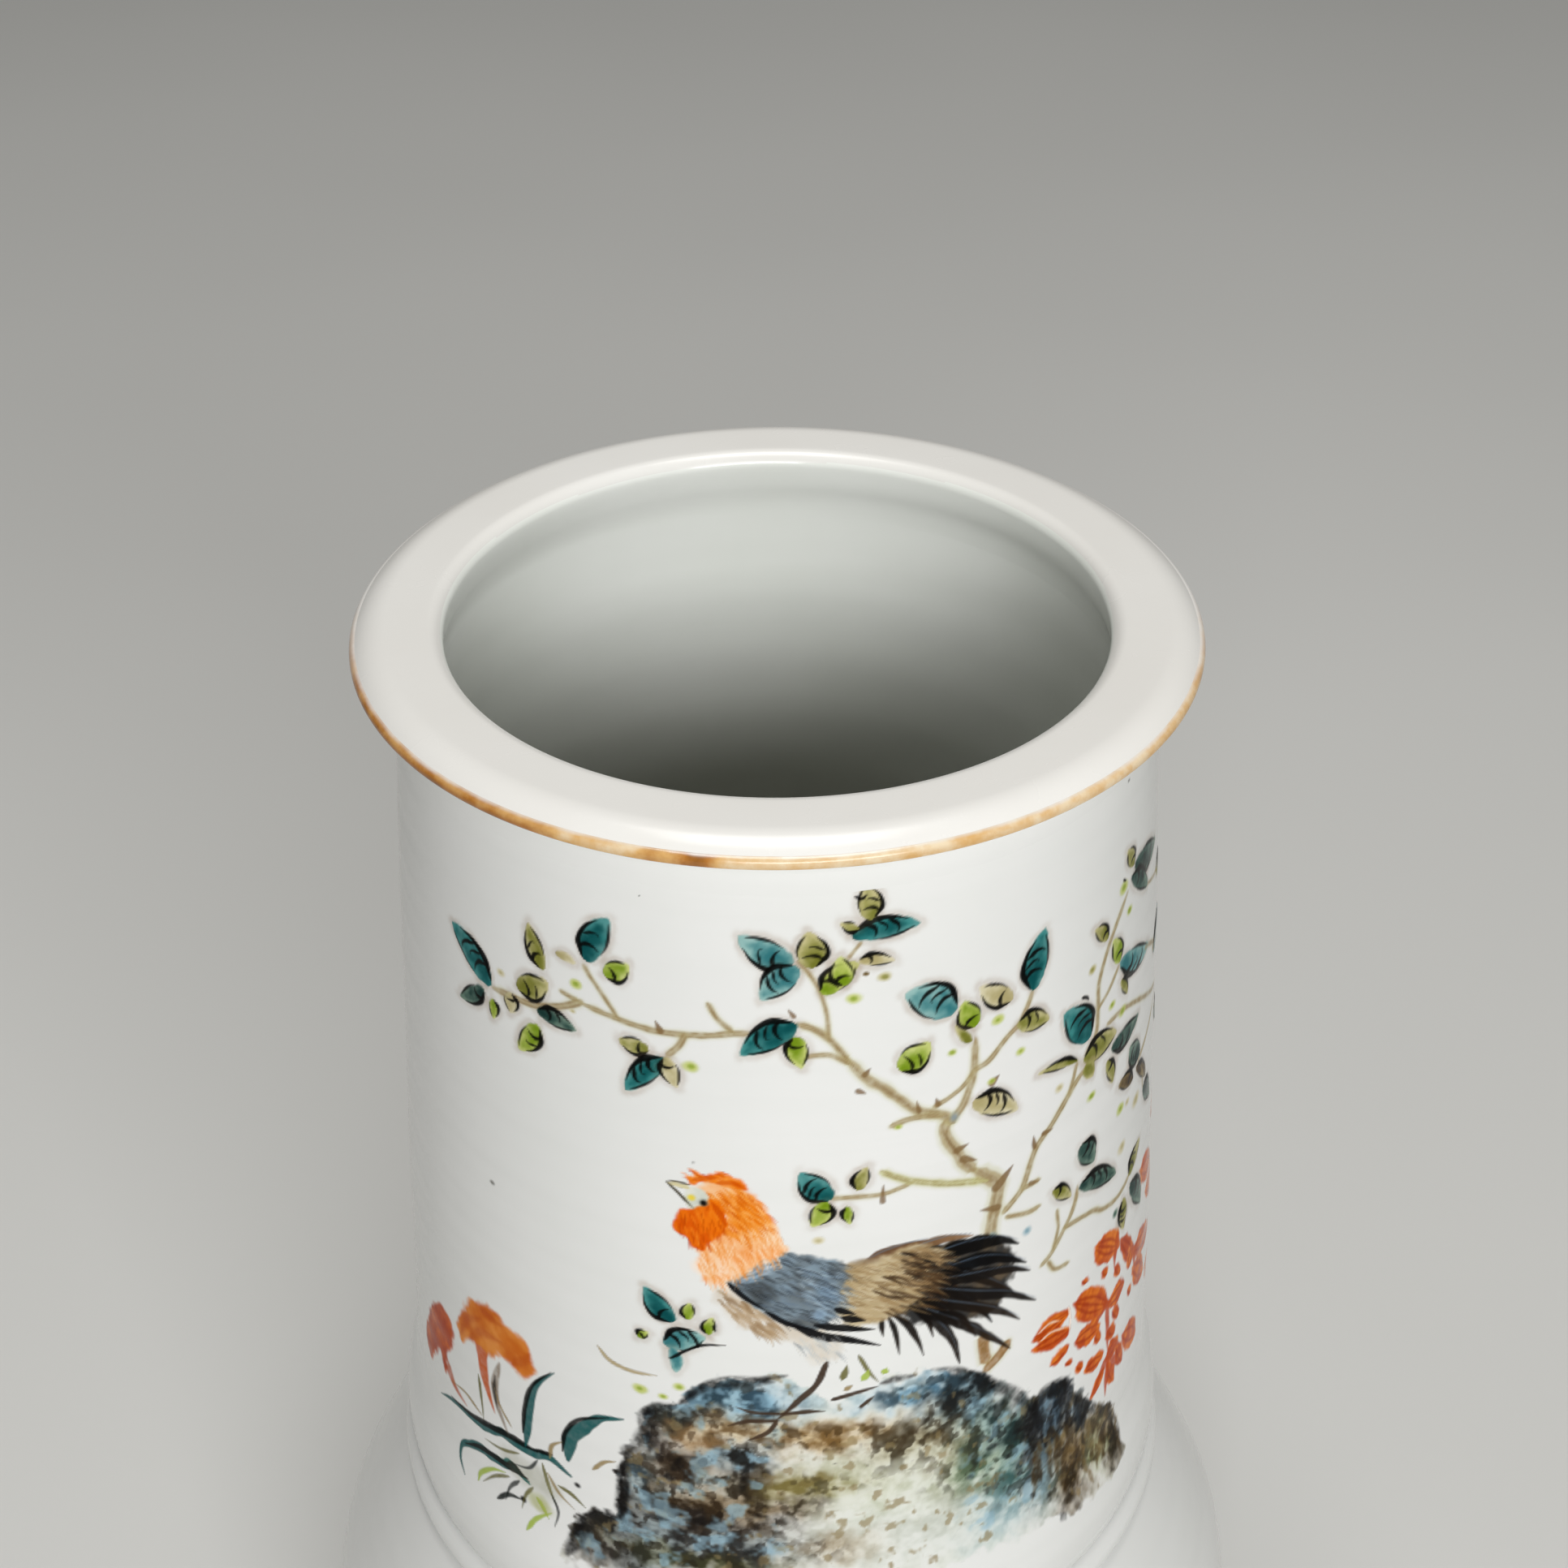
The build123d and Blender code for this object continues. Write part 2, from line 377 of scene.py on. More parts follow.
def leaf(canvas, s0, h0, s1, h1, wide, hue, veins=3, side=1):
    """One leaf from its stalk to its tip: a stain, the enamel, then ink outlines and veins."""
    root, tip = np.array((s0, h0), float), np.array((s1, h1), float)
    size = math.hypot(*(tip - root))
    forward = (tip - root) / size
    across = np.array([-forward[1], forward[0]]) * side

    def half_at(u):
        return wide / 2 * np.sin(math.pi * np.clip(u, 0, 1) ** 0.82) ** 0.62

    def bend(u):
        return LEAF_BEND * size * 4 * u * (1 - u)

    def place(u, v):
        """A point at u along the leaf and v half-widths across it."""
        return root + forward * u * size + across * (v * half_at(u) + bend(u))

    part, s, h = canvas.near(((root + tip) / 2)[None], size / 2 + wide / 2 + 2.5)
    u = ((s - s0) * forward[0] + (h - h0) * forward[1]) / size
    v = (s - s0) * across[0] + (h - h0) * across[1] - bend(u)
    over = np.maximum(np.maximum(-u, u - 1), 0) * size
    depth = half_at(u) - np.hypot(v, over) + 0.5 * (layered(s, h, 1.3, 8) - 0.5)
    stain = np.exp(-(((-depth - 0.45) / 0.6) ** 2)) * step((-depth + 0.5) / 0.8)
    canvas.lay(part, stain * 0.2 * (0.3 + 0.9 * noise(s, h, 2.6, 2)), shade(HALO))
    rim = step(1.15 - depth / (0.3 * wide))
    pool = step(0.6 * u - 0.1 + 0.3 * rim + 0.8 * (layered(s, h, 1.7, 12) - 0.3))[..., None]
    tint = shade(hue[0]) * (1 - pool) + shade(hue[1]) * pool
    canvas.lay(part, step(depth / 0.45 + 0.5) * (0.96 - 0.26 * pool[..., 0] * noise(s, h, 1.4, 5)),
        tint, 0.12)
    if not veins:
        return
    pen = 0.3 + 0.018 * size + 0.02 * wide
    edge = [place(0.04, 0.7), place(0.3, 1.0), place(0.6, 0.98), place(0.84, 0.84)]
    canvas.stroke(edge, pen * 1.9, INK, 0.95, taper=(0.3, 0.7), dry=0.15)
    far = [place(0.9, -0.6), place(0.74, -0.92), place(0.5, -1.02), place(0.3, -0.98)]
    canvas.stroke(far, pen * 0.9, INK, 0.8, taper=(0.3, 0.5))
    for k in range(veins - 1):
        u0 = 0.2 + 0.5 * k / max(veins - 1, 1)
        reach = -0.7 if k % 2 == 0 else -0.2
        ends = [place(u0, 0.8), place(u0 + 0.12, 0.3), place(u0 + 0.15, 0.4 * reach),
            place(u0 + 0.12, reach)]
        canvas.stroke(ends, pen * (1.3 if k % 2 == 0 else 0.85), INK, 0.9, taper=(0.3, 0.6),
            dry=0.15)


def dab(canvas, s, h, wide, high, hue, alpha=0.9):
    """A small touch of enamel with a soft edge."""
    canvas.wash(s, h, wide, high, hue[1], alpha, seed=int(abs(s)) % 7)
    canvas.wash(s, h, wide * 0.5, high * 0.5, hue[0], alpha * 0.6, seed=int(abs(h)) % 7)


def twig(canvas, points, width, colour=TWIG):
    """A branch: a dry stroke with uneven, darker brushwork inside it."""
    canvas.stroke(points, width * 1.6, TWIG_GREEN, 0.2, soft=0.9, taper=(0.02, 0.1), dry=0.2)
    canvas.stroke(points, width, colour, 0.8, soft=0.5, taper=(0.02, 0.12), dry=0.6, thick=0.03)
    for sign, share in ((1, 0.3), (-1, 0.24)):
        side = [(s + sign * 0.16 * width, h - sign * 0.3 * width) for s, h in points]
        canvas.stroke(side, width * share, TWIG_DEEP, 0.55, soft=0.35, taper=(0.05, 0.3), dry=1.1)


def thorn(canvas, s0, h0, s1, h1, width):
    """A short tapering spur on a branch."""
    canvas.stroke([(s0, h0), (s1, h1)], width, TWIG_DEEP, 0.8, soft=0.4, taper=(0.0, 0.8), dry=0.3)


def paint_branches(canvas):
    """The tree behind the bird: a forked trunk, a long bough to the left, stems to the right."""
    for width, *points in (
        (2.3, (32.4, 160.5), (32.8, 163), (33.2, 166), (33.8, 169), (34, 171), (32, 173),
         (29.5, 175.5)),
        (1.9, (29.5, 175.5), (27.6, 177.8), (26.6, 180), (25.2, 182.4), (24.6, 184.6),
         (25.6, 186.4)),
        (1.5, (26, 185.6), (24.2, 187.4), (20.6, 189), (18, 191.6), (15, 194.6), (12.2, 197),
         (9.6, 200.8)),
        (1.1, (9.8, 200.4), (7.2, 204.2), (5, 206), (2.6, 207)),
        (0.8, (10, 199.6), (7.6, 201.2), (5.4, 201.4), (3.4, 201.2)),
        (0.65, (7.2, 204.4), (6.9, 208.4), (6, 212), (4.6, 215), (2.8, 217.4)),
        (0.5, (10.1, 217.4), (12, 219.8)),
        (1, (-4.4, 205.4), (-7.5, 205), (-10.2, 204.5), (-16.4, 204), (-20, 204.2), (-27, 205.2),
         (-30, 205.7)),
        (1.1, (-29.5, 205.8), (-32.5, 204), (-37.5, 202), (-42, 201.5), (-46.6, 201)),
        (0.7, (-33, 206.4), (-30, 205.8)), (0.85, (-10, 209.8), (-8.6, 207.4), (-6.4, 205.5)),
        (1, (-13.4, 204.1), (-14.4, 202), (-16.2, 200)),
        (0.75, (-29, 212), (-27, 209.4), (-23.4, 204.8)),
        (1.25, (25.6, 185.6), (27.6, 188), (29, 191.6), (29.5, 195), (29.7, 199)),
        (0.75, (23, 189.2), (25.2, 190), (27.6, 191.4), (29.4, 193.4)),
        (0.9, (29.5, 193.6), (32, 194.4), (35, 197), (37.4, 198.6), (39.2, 201.4), (40, 204)),
        (0.95, (16.4, 187.4), (18.6, 188), (21.4, 187.9), (24.6, 187.2)),
        (0.75, (7.6, 175.8), (11.4, 175.5), (15, 175.3), (17.6, 175.8), (20, 176.5)),
        (1.1, (35, 165), (38.4, 168), (40, 172), (41.2, 174.2), (44, 176.6), (47, 179.4), (50, 182),
         (52.6, 183.2)),
        (0.85, (38.4, 167.8), (42, 167.8)), (0.8, (35.5, 163.8), (39.5, 162.6), (42.2, 162.6)),
        (0.8, (48, 180.4), (49, 183), (50, 185.4)),
        (0.95, (52.2, 185.4), (54.2, 187), (55, 189.4), (55, 195), (55.8, 198), (58, 201.6),
         (60, 204), (64.4, 207.6)),
        (0.7, (55, 192), (58, 193.6), (61.4, 196)),
        (0.9, (42.5, 150.5), (45, 152), (47.6, 155), (50, 158.4), (50.6, 161.2)),
        (0.7, (45.8, 159.4), (46, 155.6), (45, 152)),
        (0.8, (44, 150.4), (45.6, 148), (48.8, 147.4)),
        (0.9, (47.6, 155), (51, 154.4), (55, 153.4), (58, 151.6), (62.6, 150.4), (66.6, 151),
         (68, 152.6)),
        (0.9, (75, 191), (84, 186), (94, 180)),
        (0.9, (58, 187.4), (63, 186.8), (70, 184), (78, 180), (88, 176)),
    ):
        twig(canvas, points, width)
    for width, *points in (
        (2, (31.4, 142.6), (31.6, 139.6), (32.2, 136.6)),
        (1.7, (36.2, 138.8), (34, 136.8), (31.6, 135.2)),
    ):
        twig(canvas, points, width, (150, 104, 44))
    twig(canvas,
        [(15, 179.4), (17.6, 177.8), (20, 176.5), (25, 174.5), (29.4, 173.3), (32, 172.4)], 1.2,
        TWIG_GREEN)
    for s0, h0, s1, h1, width in (
        (33.6, 170.4, 36.6, 173.2, 1.7), (33.8, 166.5, 30.7, 167.3, 1.2),
        (26.6, 180, 28.6, 180.6, 1.1), (27.6, 178.2, 30.1, 177, 1.2), (15.1, 174, 15.2, 177, 0.9),
        (40.8, 174.4, 40.5, 176.6, 0.9), (42.6, 176, 44.6, 175.8, 0.9), (40, 168, 41.6, 167.6, 0.8),
        (20.6, 189, 20.2, 191, 0.7), (12.4, 197.2, 13.2, 198.2, 0.9), (-17, 204.2, -17.8, 205.8, 1),
        (2.2, 208.2, 1.4, 209.4, 0.7), (23.6, 189.4, 23.2, 190.6, 0.9),
        (11.4, 194.6, 12.6, 194, 0.9), (32.6, 190, 33.8, 191, 1.2),
    ):
        thorn(canvas, s0, h0, s1, h1, width)
    dab(canvas, 26.2, 186.2, 1.4, 1.6, ((92, 116, 140), (150, 168, 180)), 0.6)
    for s, h, width in ((32.7, 161.2, 1.2), (39.5, 159.1, 1.2)):
        dab(canvas, s, h, width, width, ((90, 130, 150), (150, 180, 190)), 0.7)


def paint_leaves(canvas):
    """Leaves along the boughs: stalk, tip, width, enamel, ink strokes and the bold side."""
    for s0, h0, s1, h1, wide, hue, veins, side in (
        # The long bough.
        (-46.8, 201.3, -56.4, 207.4, 5, TEAL, 4, -1),
        (-48.4, 199.8, -54.6, 195.2, 2.9, SLATE, 2, 1),
        (-36.2, 208.8, -38.8, 215.8, 3.2, OLIVE, 3, 1),
        (-41.2, 203.6, -35.2, 207, 4.3, OLIVE, 3, -1), (-42.7, 202, -42.7, 198.4, 2.8, SAND, 2, 1),
        (-37.2, 198.6, -41.2, 192.7, 3.5, LIME, 3, 1),
        (-37.4, 201.3, -30.4, 200.4, 2.8, SLATE, 3, 1), (-33.8, 212.7, -30.4, 212, 1.6, SAND, 0, 1),
        (-46.5, 199, -46.4, 195.6, 2, LIME, 1, 1), (-28.8, 213, -24.8, 221.2, 4.4, TEAL, 3, 1),
        (-25.6, 211.4, -21.8, 214.3, 3.4, LIME, 2, -1),
        (-18.8, 200.5, -23.5, 201.3, 2.8, OLIVE, 2, 1),
        (-16.3, 199.6, -22.6, 192.5, 3.5, TEAL, 4, -1),
        (-16.3, 199.9, -14.6, 194.8, 2.8, SAND, 2, -1),
        # Over the bird.
        (2.2, 216.9, -5.6, 221.4, 4.4, MIST, 3, 1), (2.8, 216.6, -2.5, 211, 4.4, MIST, 4, -1),
        (4.9, 216.2, 4.3, 222.1, 4.4, OLIVE, 3, -1), (6.2, 211.8, 11.4, 216.6, 3.8, LIME, 2, 1),
        (9.6, 212.8, 8.9, 217.8, 3.2, LIME, 2, 1), (11.5, 216.8, 17, 215.9, 1.9, SAND, 2, 1),
        (10.5, 220.9, 20.8, 221.3, 3.4, TEAL, 4, 1), (13.4, 223.2, 12.5, 229, 3.5, OLIVE, 3, -1),
        (11.6, 221.9, 9, 223.1, 1.6, OLIVE, 1, 1), (2.6, 207, -5.4, 201.6, 4.4, TEAL, 4, -1),
        (2.5, 204.9, 3.3, 199.4, 3.2, LIME, 2, -1), (7.5, 175.6, 3, 180.9, 4.3, TEAL, 4, 1),
        (7, 175.2, 4.7, 170.9, 3.3, LIME, 2, 1), (11.3, 176.8, 12.8, 180.9, 2.4, OLIVE, 1, 1),
        (9.8, 174, 10.3, 170.8, 1.7, LIME, 1, -1),
        # The fork.
        (26.4, 205.2, 18.4, 209.9, 5.6, MIST, 4, -1), (29.6, 201.2, 27.6, 206.2, 3.8, LIME, 2, 1),
        (36, 203.5, 30.3, 207.7, 3.7, SAND, 2, 1), (39.8, 203.4, 42.3, 212.8, 4.8, TEAL, 4, 1),
        (17.4, 197.2, 22.3, 200.7, 4.6, LIME, 3, -1), (29.2, 188, 37.2, 183.4, 4.2, SAND, 4, 1),
        (37, 198.6, 43.4, 196.6, 3.6, OLIVE, 3, 1), (29, 198.8, 26.3, 202.4, 1.5, OLIVE, 0, 1),
        # The right tree.
        (53, 188.1, 46.6, 195.8, 5.9, TEAL, 4, -1), (51.4, 184.6, 61, 184.2, 4.3, OLIVE, 3, 1),
        (51.6, 183.4, 54, 180.3, 2.8, OLIVE, 0, 1), (50, 185.5, 41.3, 187.7, 1.6, OLIVE, 1, -1),
        (58, 180.5, 60.1, 175, 2.5, OLIVE, 2, 1), (59.2, 182, 70, 181.4, 3.6, SLATE, 3, -1),
        (71, 172.8, 66, 177.6, 4.4, SLATE, 4, 1), (68, 170.3, 62, 172.9, 2.9, BROWN, 2, -1),
        (69.5, 171.3, 75.5, 165.3, 2.5, BROWN, 2, 1), (66.8, 210.9, 63.8, 215, 2.9, OLIVE, 2, -1),
        (67, 210.4, 80, 207.4, 4.5, SLATE, 4, -1), (65.6, 209.3, 73.6, 202.9, 3.3, SLATE, 3, 1),
        (57.6, 203.3, 53.8, 206.8, 2.6, OLIVE, 2, -1), (61.6, 196.6, 59.4, 201.9, 3.4, LIME, 2, -1),
        (61.6, 196.2, 75, 191.2, 4.2, MIST, 4, -1), (62, 193, 64.6, 188.7, 1.9, OLIVE, 1, 1),
        (51, 168.7, 54.9, 163.2, 4.3, SLATE, 3, 1), (44.7, 163.8, 49, 160.2, 2.6, OLIVE, 2, 1),
        (51, 160.8, 62, 156, 3.6, SLATE, 4, 1), (67, 151.5, 72.6, 155, 3.5, OLIVE, 3, 1),
        (65, 148.4, 65.3, 142, 3.2, OLIVE, 4, -1), (68, 149, 74, 140.4, 4, SLATE, 3, 1),
        (74, 164, 79.6, 158.4, 3.8, SLATE, 3, 1), (80, 186, 88, 190, 4.2, TEAL, 3, 1),
        (84, 172, 92, 166, 4.2, SLATE, 3, 1), (82, 200, 91, 197, 4, OLIVE, 3, 1),
        # In front of the bird.
        (-15.7, 151.2, -20.2, 157, 3.8, TEAL, 2, 1), (-17.2, 146.8, -10.8, 149.2, 4, MIST, 3, 1),
        (-13.6, 152.2, -13.1, 155.6, 2, LIME, 1, 1), (-10.6, 149.8, -9.9, 153.2, 2, LIME, 1, 1),
        (-21.4, 147, -19.6, 148.2, 1.6, LIME, 1, 1), (-15.9, 146.2, -15.4, 141.4, 2.2, MIST, 0, 1),
    ):
        leaf(canvas, s0, h0, s1, h1, wide, hue, veins, side)
    for s, h, wide, hue in (
        (-30.4, 208.5, 1.3, LIME), (-44.6, 204.6, 1.2, SAND), (-12.6, 198.8, 1.5, LIME),
        (10.8, 210.5, 1.4, LIME), (15.4, 213.4, 1.5, OLIVE), (12.6, 214.4, 0.6, BROWN),
        (25.8, 197.9, 1.3, LIME), (33.5, 200.8, 1.4, LIME), (32.6, 190.4, 1.1, LIME),
        (37.7, 193.6, 1.2, LIME), (53.8, 176.5, 1.5, LIME), (45.8, 182.8, 1.2, SAND),
        (63, 167.9, 1.7, LIME), (65.6, 167.3, 1.2, SAND), (70, 164.6, 2.4, SAND),
        (62.8, 209.2, 1.8, LIME), (64.9, 203.9, 1.6, LIME), (53.4, 200, 1.3, OLIVE),
        (59.3, 190.1, 1.5, LIME), (63, 186.6, 1.6, LIME), (64.2, 159.6, 1.9, SAND),
        (62, 147.6, 1.4, SLATE), (5.6, 168.2, 1.3, SAND), (-21.2, 136.5, 1.5, LIME),
        (-15, 138.5, 1.3, LIME), (-17.5, 136, 1.1, LIME), (-31, 203.6, 0.9, SAND),
        (17.4, 187, 1, LIME),
    ):
        dab(canvas, s, h, wide, wide * 0.75, hue)
    for width, *points in (
        (0.5, (11, 227.2), (12, 226.8), (12.8, 227.4)), (0.5, (62.6, 210.6), (63.8, 209.8)),
        (0.6, (50.8, 196.4), (52, 195.8), (52.6, 195)), (0.5, (-20.9, 148), (-20.2, 146.8)),
        (0.6, (-13.5, 150), (-12.4, 148.6), (-12, 147)),
        (0.6, (-16.4, 144), (-12, 147.4), (-8, 148.1)), (0.5, (-9.8, 151.8), (-9.4, 150.4)),
    ):
        canvas.stroke(points, width, INK, 0.9)
    canvas.stroke([(-28, 142.5), (-26, 140.3), (-22.5, 139.5), (-18.5, 139.8)], 0.7, TWIG, 0.8,
        dry=0.3)


def inside(shape, s, h):
    """Whether a place lies inside a closed outline."""
    crossed = False
    for (s0, h0), (s1, h1) in zip(shape, np.roll(shape, -1, 0)):
        if (h0 > h) != (h1 > h) and s < (s1 - s0) * (h - h0) / (h1 - h0) + s0:
            crossed = not crossed
    return crossed


def barbs(canvas, outline, flow, count, length, hues, alpha=0.7, width=0.3):
    """Many short hair strokes inside an outline, all lying along flow degrees."""
    shape = np.array(outline, float)
    low, high = shape.min(0), shape.max(0)
    made = 0
    while made < count:
        s, h = low + (high - low) * canvas.draw.random(2)
        if not inside(shape, s, h):
            continue
        made += 1
        turn = math.radians(flow + canvas.draw.normal(0, 9))
        run = length * (0.6 + 0.8 * canvas.draw.random())
        ds, dh = run * math.cos(turn), run * math.sin(turn)
        ends = [(s, h), (s + ds / 2, h + dh / 2 + 0.15), (s + ds, h + dh)]
        canvas.stroke(ends, width, canvas.pick(hues), alpha, taper=(0.2, 0.6), dry=0.3)


def paint_tail(canvas):
    """Long dark plumes fanning from the root of the tail, brown over the top."""
    black, brown = (10, 9, 9), (98, 66, 38)
    fan = [(16, 153), (20, 162.4), (27, 163), (33, 161), (36, 157), (36.4, 151.4), (33, 147),
        (28, 147.4), (24, 148.6), (19, 150)]
    canvas.patch(fan, ((20, 19, 19), (84, 68, 46)), 0.82, soft=1.6, ragged=1.4, grain=2.4, seed=2)
    canvas.wash(27, 158.4, 6, 1.6, (84, 112, 138), 0.75, -14)
    for width, colour, end, *points in (
        (0.8, black, SEPIA, (15, 152), (15, 150.4), (15.2, 148.4)),
        (2, brown, black, (22, 158), (27, 153), (31, 148), (33, 144.6)),
        (1.6, brown, black, (21, 155), (25, 150.5), (27, 146.6)),
        (2, black, SEPIA, (23, 159.6), (30, 155), (35, 150.6), (37.6, 147.4)),
        (1.2, black, SEPIA, (20, 154), (22, 150), (23, 146)),
        (0.9, black, SEPIA, (16, 152), (17, 149), (17.7, 144.2)),
        (1.1, black, SEPIA, (16.5, 152.5), (19, 149.5), (20.6, 146), (21.5, 142.8)),
        (1.9, black, SEPIA, (19.6, 153), (24, 148), (26.2, 144), (27.5, 138.8)),
        (2.1, black, SEPIA, (19, 153.5), (27.5, 147), (32.5, 142), (36.5, 137.4)),
        (1.1, black, SEPIA, (24, 150.5), (27.5, 148.2), (30.2, 143)),
        (2.2, black, SEPIA, (20, 154.6), (30, 149), (35, 145.6), (38.2, 142.4)),
        (2.3, black, (34, 28, 24), (21, 156), (30, 151.6), (36, 148.6), (41.4, 144.4)),
        (2.3, black, (34, 28, 24), (21, 157), (32.5, 154.6), (37, 153), (40.2, 151)),
        (2.5, black, black, (22, 158), (30, 158), (35, 156.2), (39.4, 153)),
        (2.9, black, black, (21, 161), (27.5, 161.6), (34, 160.2), (37.8, 157.6)),
        (1.6, brown, (150, 116, 84), (18, 163), (21, 164), (25, 164.2), (29.6, 163)),
        (1.7, (110, 78, 54), brown, (12, 162.8), (15, 164.2), (18.4, 164.8), (22, 165)),
    ):
        canvas.stroke(points, width, colour, 0.95, soft=0.4, taper=(0.25, 0.5), dry=0.15,
            thick=0.04, end=end)
        if width > 1.4:
            sheen = [(s, h + 0.28 * width) for s, h in points]
            canvas.stroke(sheen, 0.35, (104, 126, 150), 0.55, taper=(0.35, 0.6), dry=0.4)


def paint_bird(canvas):
    """A cock walking to the left, in the loose manner of such pots."""
    black, slate, blue, sky = (14, 14, 16), (56, 62, 68), (104, 122, 140), (146, 172, 194)
    tan, brown = (160, 132, 92), (90, 66, 42)
    breast = [(-9.7, 159.2), (-9.5, 157), (-8, 154.5), (-5, 151.5), (-2, 150), (2, 149), (4, 147),
        (5.2, 144.4), (8, 146), (9, 149.5), (5, 153), (0, 155), (-5, 158.5)]
    canvas.patch(breast, ((206, 192, 172), (226, 222, 214)), 0.5, soft=1.6, ragged=1, grain=3,
        seed=5)
    barbs(canvas, [(-9.6, 159), (-9.4, 156.6), (-6, 152.4), (-2, 150.4), (0, 152), (-5, 157)], -46,
        90, 2.4, [(168, 140, 104), (140, 112, 80), (196, 174, 146)], alpha=0.5, width=0.6)
    paint_tail(canvas)
    saddle = [(8, 163.4), (12.5, 163.2), (18, 164.6), (23, 164), (24.6, 160), (21.6, 155.4),
        (17, 152), (9, 152)]
    canvas.patch(saddle, ((180, 160, 122), (198, 182, 148)), 0.9, soft=1.2, ragged=0.8, grain=3,
        seed=4)
    canvas.wash(20.4, 161.6, 4.2, 3.2, (104, 80, 52), 0.85, seed=3)
    canvas.wash(12.5, 163.2, 4, 1.2, (142, 122, 96), 0.6, seed=2)
    barbs(canvas, saddle, -24, 330, 2.4,
        [(146, 120, 80), (188, 166, 126), (122, 98, 64), (206, 190, 160), tan], alpha=0.55,
        width=0.3)
    barbs(canvas, [(17, 164), (23, 164), (25, 160), (22, 155), (19, 156)], -30, 130, 3,
        [brown, (60, 44, 30), black, tan], 0.65, 0.4)
    barbs(canvas, [(13, 160), (20, 161), (25, 158), (22, 153), (17, 151.6), (14, 154)], -34, 70,
        3.6, [(70, 48, 28), (50, 36, 24), (150, 122, 82)], 0.6, 0.4)
    wing = [(-8, 160.4), (-4, 162.6), (-1, 165), (0.6, 166.4), (5, 164.8), (9.4, 163.2), (9, 158),
        (8, 153.4), (4.6, 151.4), (1, 152.4), (-2.4, 154.8), (-5.4, 157.4)]
    canvas.patch(wing, ((92, 98, 100), (130, 150, 164)), 0.9, soft=1, ragged=0.8, grain=3.4, seed=3)
    canvas.wash(-2.6, 158.8, 4.4, 3.2, (48, 50, 50), 0.75, -24, seed=4)
    canvas.wash(6.8, 157.4, 2.4, 4, (122, 152, 178), 0.6, seed=5)
    barbs(canvas, wing, -32, 300, 2.2, [black, slate, (78, 84, 88), blue, (100, 112, 122)],
        alpha=0.42, width=0.32)
    barbs(canvas, [(2, 163.6), (9.6, 162.4), (9.6, 154), (4, 153.6)], -34, 130, 2.4,
        [sky, blue, (172, 190, 202), slate], 0.55, 0.32)
    barbs(canvas, [(-8.6, 161), (-6, 162), (-2, 165), (-1, 163), (-5, 160)], 24, 60, 1.6,
        [sky, blue, (178, 192, 204)], 0.6, 0.4)
    dab(canvas, 5.8, 154.3, 1.6, 1.6, (blue, sky), 0.9)
    for width, *points in (
        (1.5, (2, 152.2), (6, 150), (10, 148.8), (14.8, 146.8)),
        (1.4, (5, 152.2), (9, 151.2), (14, 150)), (1.3, (9, 153.2), (12.6, 152)),
        (1.2, (8, 155), (11, 153.6)), (1, (-7.6, 160.2), (-5, 157.6), (-2, 155.2)),
        (0.9, (-2, 155), (1, 152.8), (5, 151.4)),
    ):
        canvas.stroke(points, width, black, 0.95, taper=(0.2, 0.5), thick=0.04)
    barbs(canvas, [(1, 150), (8, 150.4), (9, 147), (6.4, 144.6), (3.4, 147)], -58, 46, 2.2,
        [(150, 156, 160), (190, 196, 198), (216, 214, 206)], 0.5)
    # Leg and toes.
    leg = (66, 50, 38)
    for width, *points in (
        (1, (6.8, 144.8), (5.2, 140.4), (2.6, 137.4), (0.6, 135), (-0.8, 133.4)),
        (0.7, (-0.4, 133.5), (-5, 133.2), (-7.8, 132)), (0.75, (0, 134.8), (4, 135.2), (6.6, 135)),
        (0.75, (-0.6, 133.2), (-2, 131), (-4.8, 129.2)),
        (0.7, (0, 134.9), (-4, 135.1), (-6.6, 136)), (0.7, (7.5, 137.2), (11, 138), (14.4, 138.6)),
        (0.7, (11.7, 135), (13.8, 136.8)),
    ):
        canvas.stroke(points, width, leg, 0.92, taper=(0.05, 0.35))
    # Hackle, face, comb and wattle.
    orange, deep, pale, beak = (232, 116, 4), (202, 74, 0), (246, 204, 160), (70, 62, 40)
    hackle = [(-12.4, 177.8), (-9, 178.8), (-5.6, 178.2), (-3, 175.6), (-1, 172), (0.4, 168.2),
        (0.6, 166.6), (-2, 164.4), (-5, 162.4), (-8, 160.4), (-11, 160.2), (-12, 163),
        (-11.6, 166.4), (-9, 169), (-8, 173), (-10.6, 176)]
    canvas.patch(hackle, ((244, 162, 92), pale), 0.8, soft=1.4, ragged=0.8, grain=3, seed=9)
    canvas.wash(-8.4, 163, 5, 3, (250, 226, 206), 0.8, seed=3)
    canvas.wash(-4.8, 173, 3, 4.6, (232, 124, 16), 0.8, seed=2)
    barbs(canvas, [(-10.6, 176.6), (-6, 178.6), (-3, 175.6), (-1, 171), (-5, 168), (-9, 170)], -56,
        330, 1.9, [orange, (240, 146, 46), (208, 90, 2), (248, 184, 112)], 0.6)
    barbs(canvas, hackle[4:14], -70, 260, 2.2,
        [(242, 156, 80), pale, (234, 132, 40), (252, 230, 208), (248, 194, 142)], alpha=0.5)
    face = [(-13.2, 177.4), (-11.4, 177.2), (-10.2, 175.6), (-10.6, 173.8), (-12.6, 173.2),
        (-13.8, 175)]
    canvas.patch(face, ((226, 226, 214), (206, 210, 198)), 0.95, soft=0.5, ragged=0.3, grain=1.4,
        seed=1)
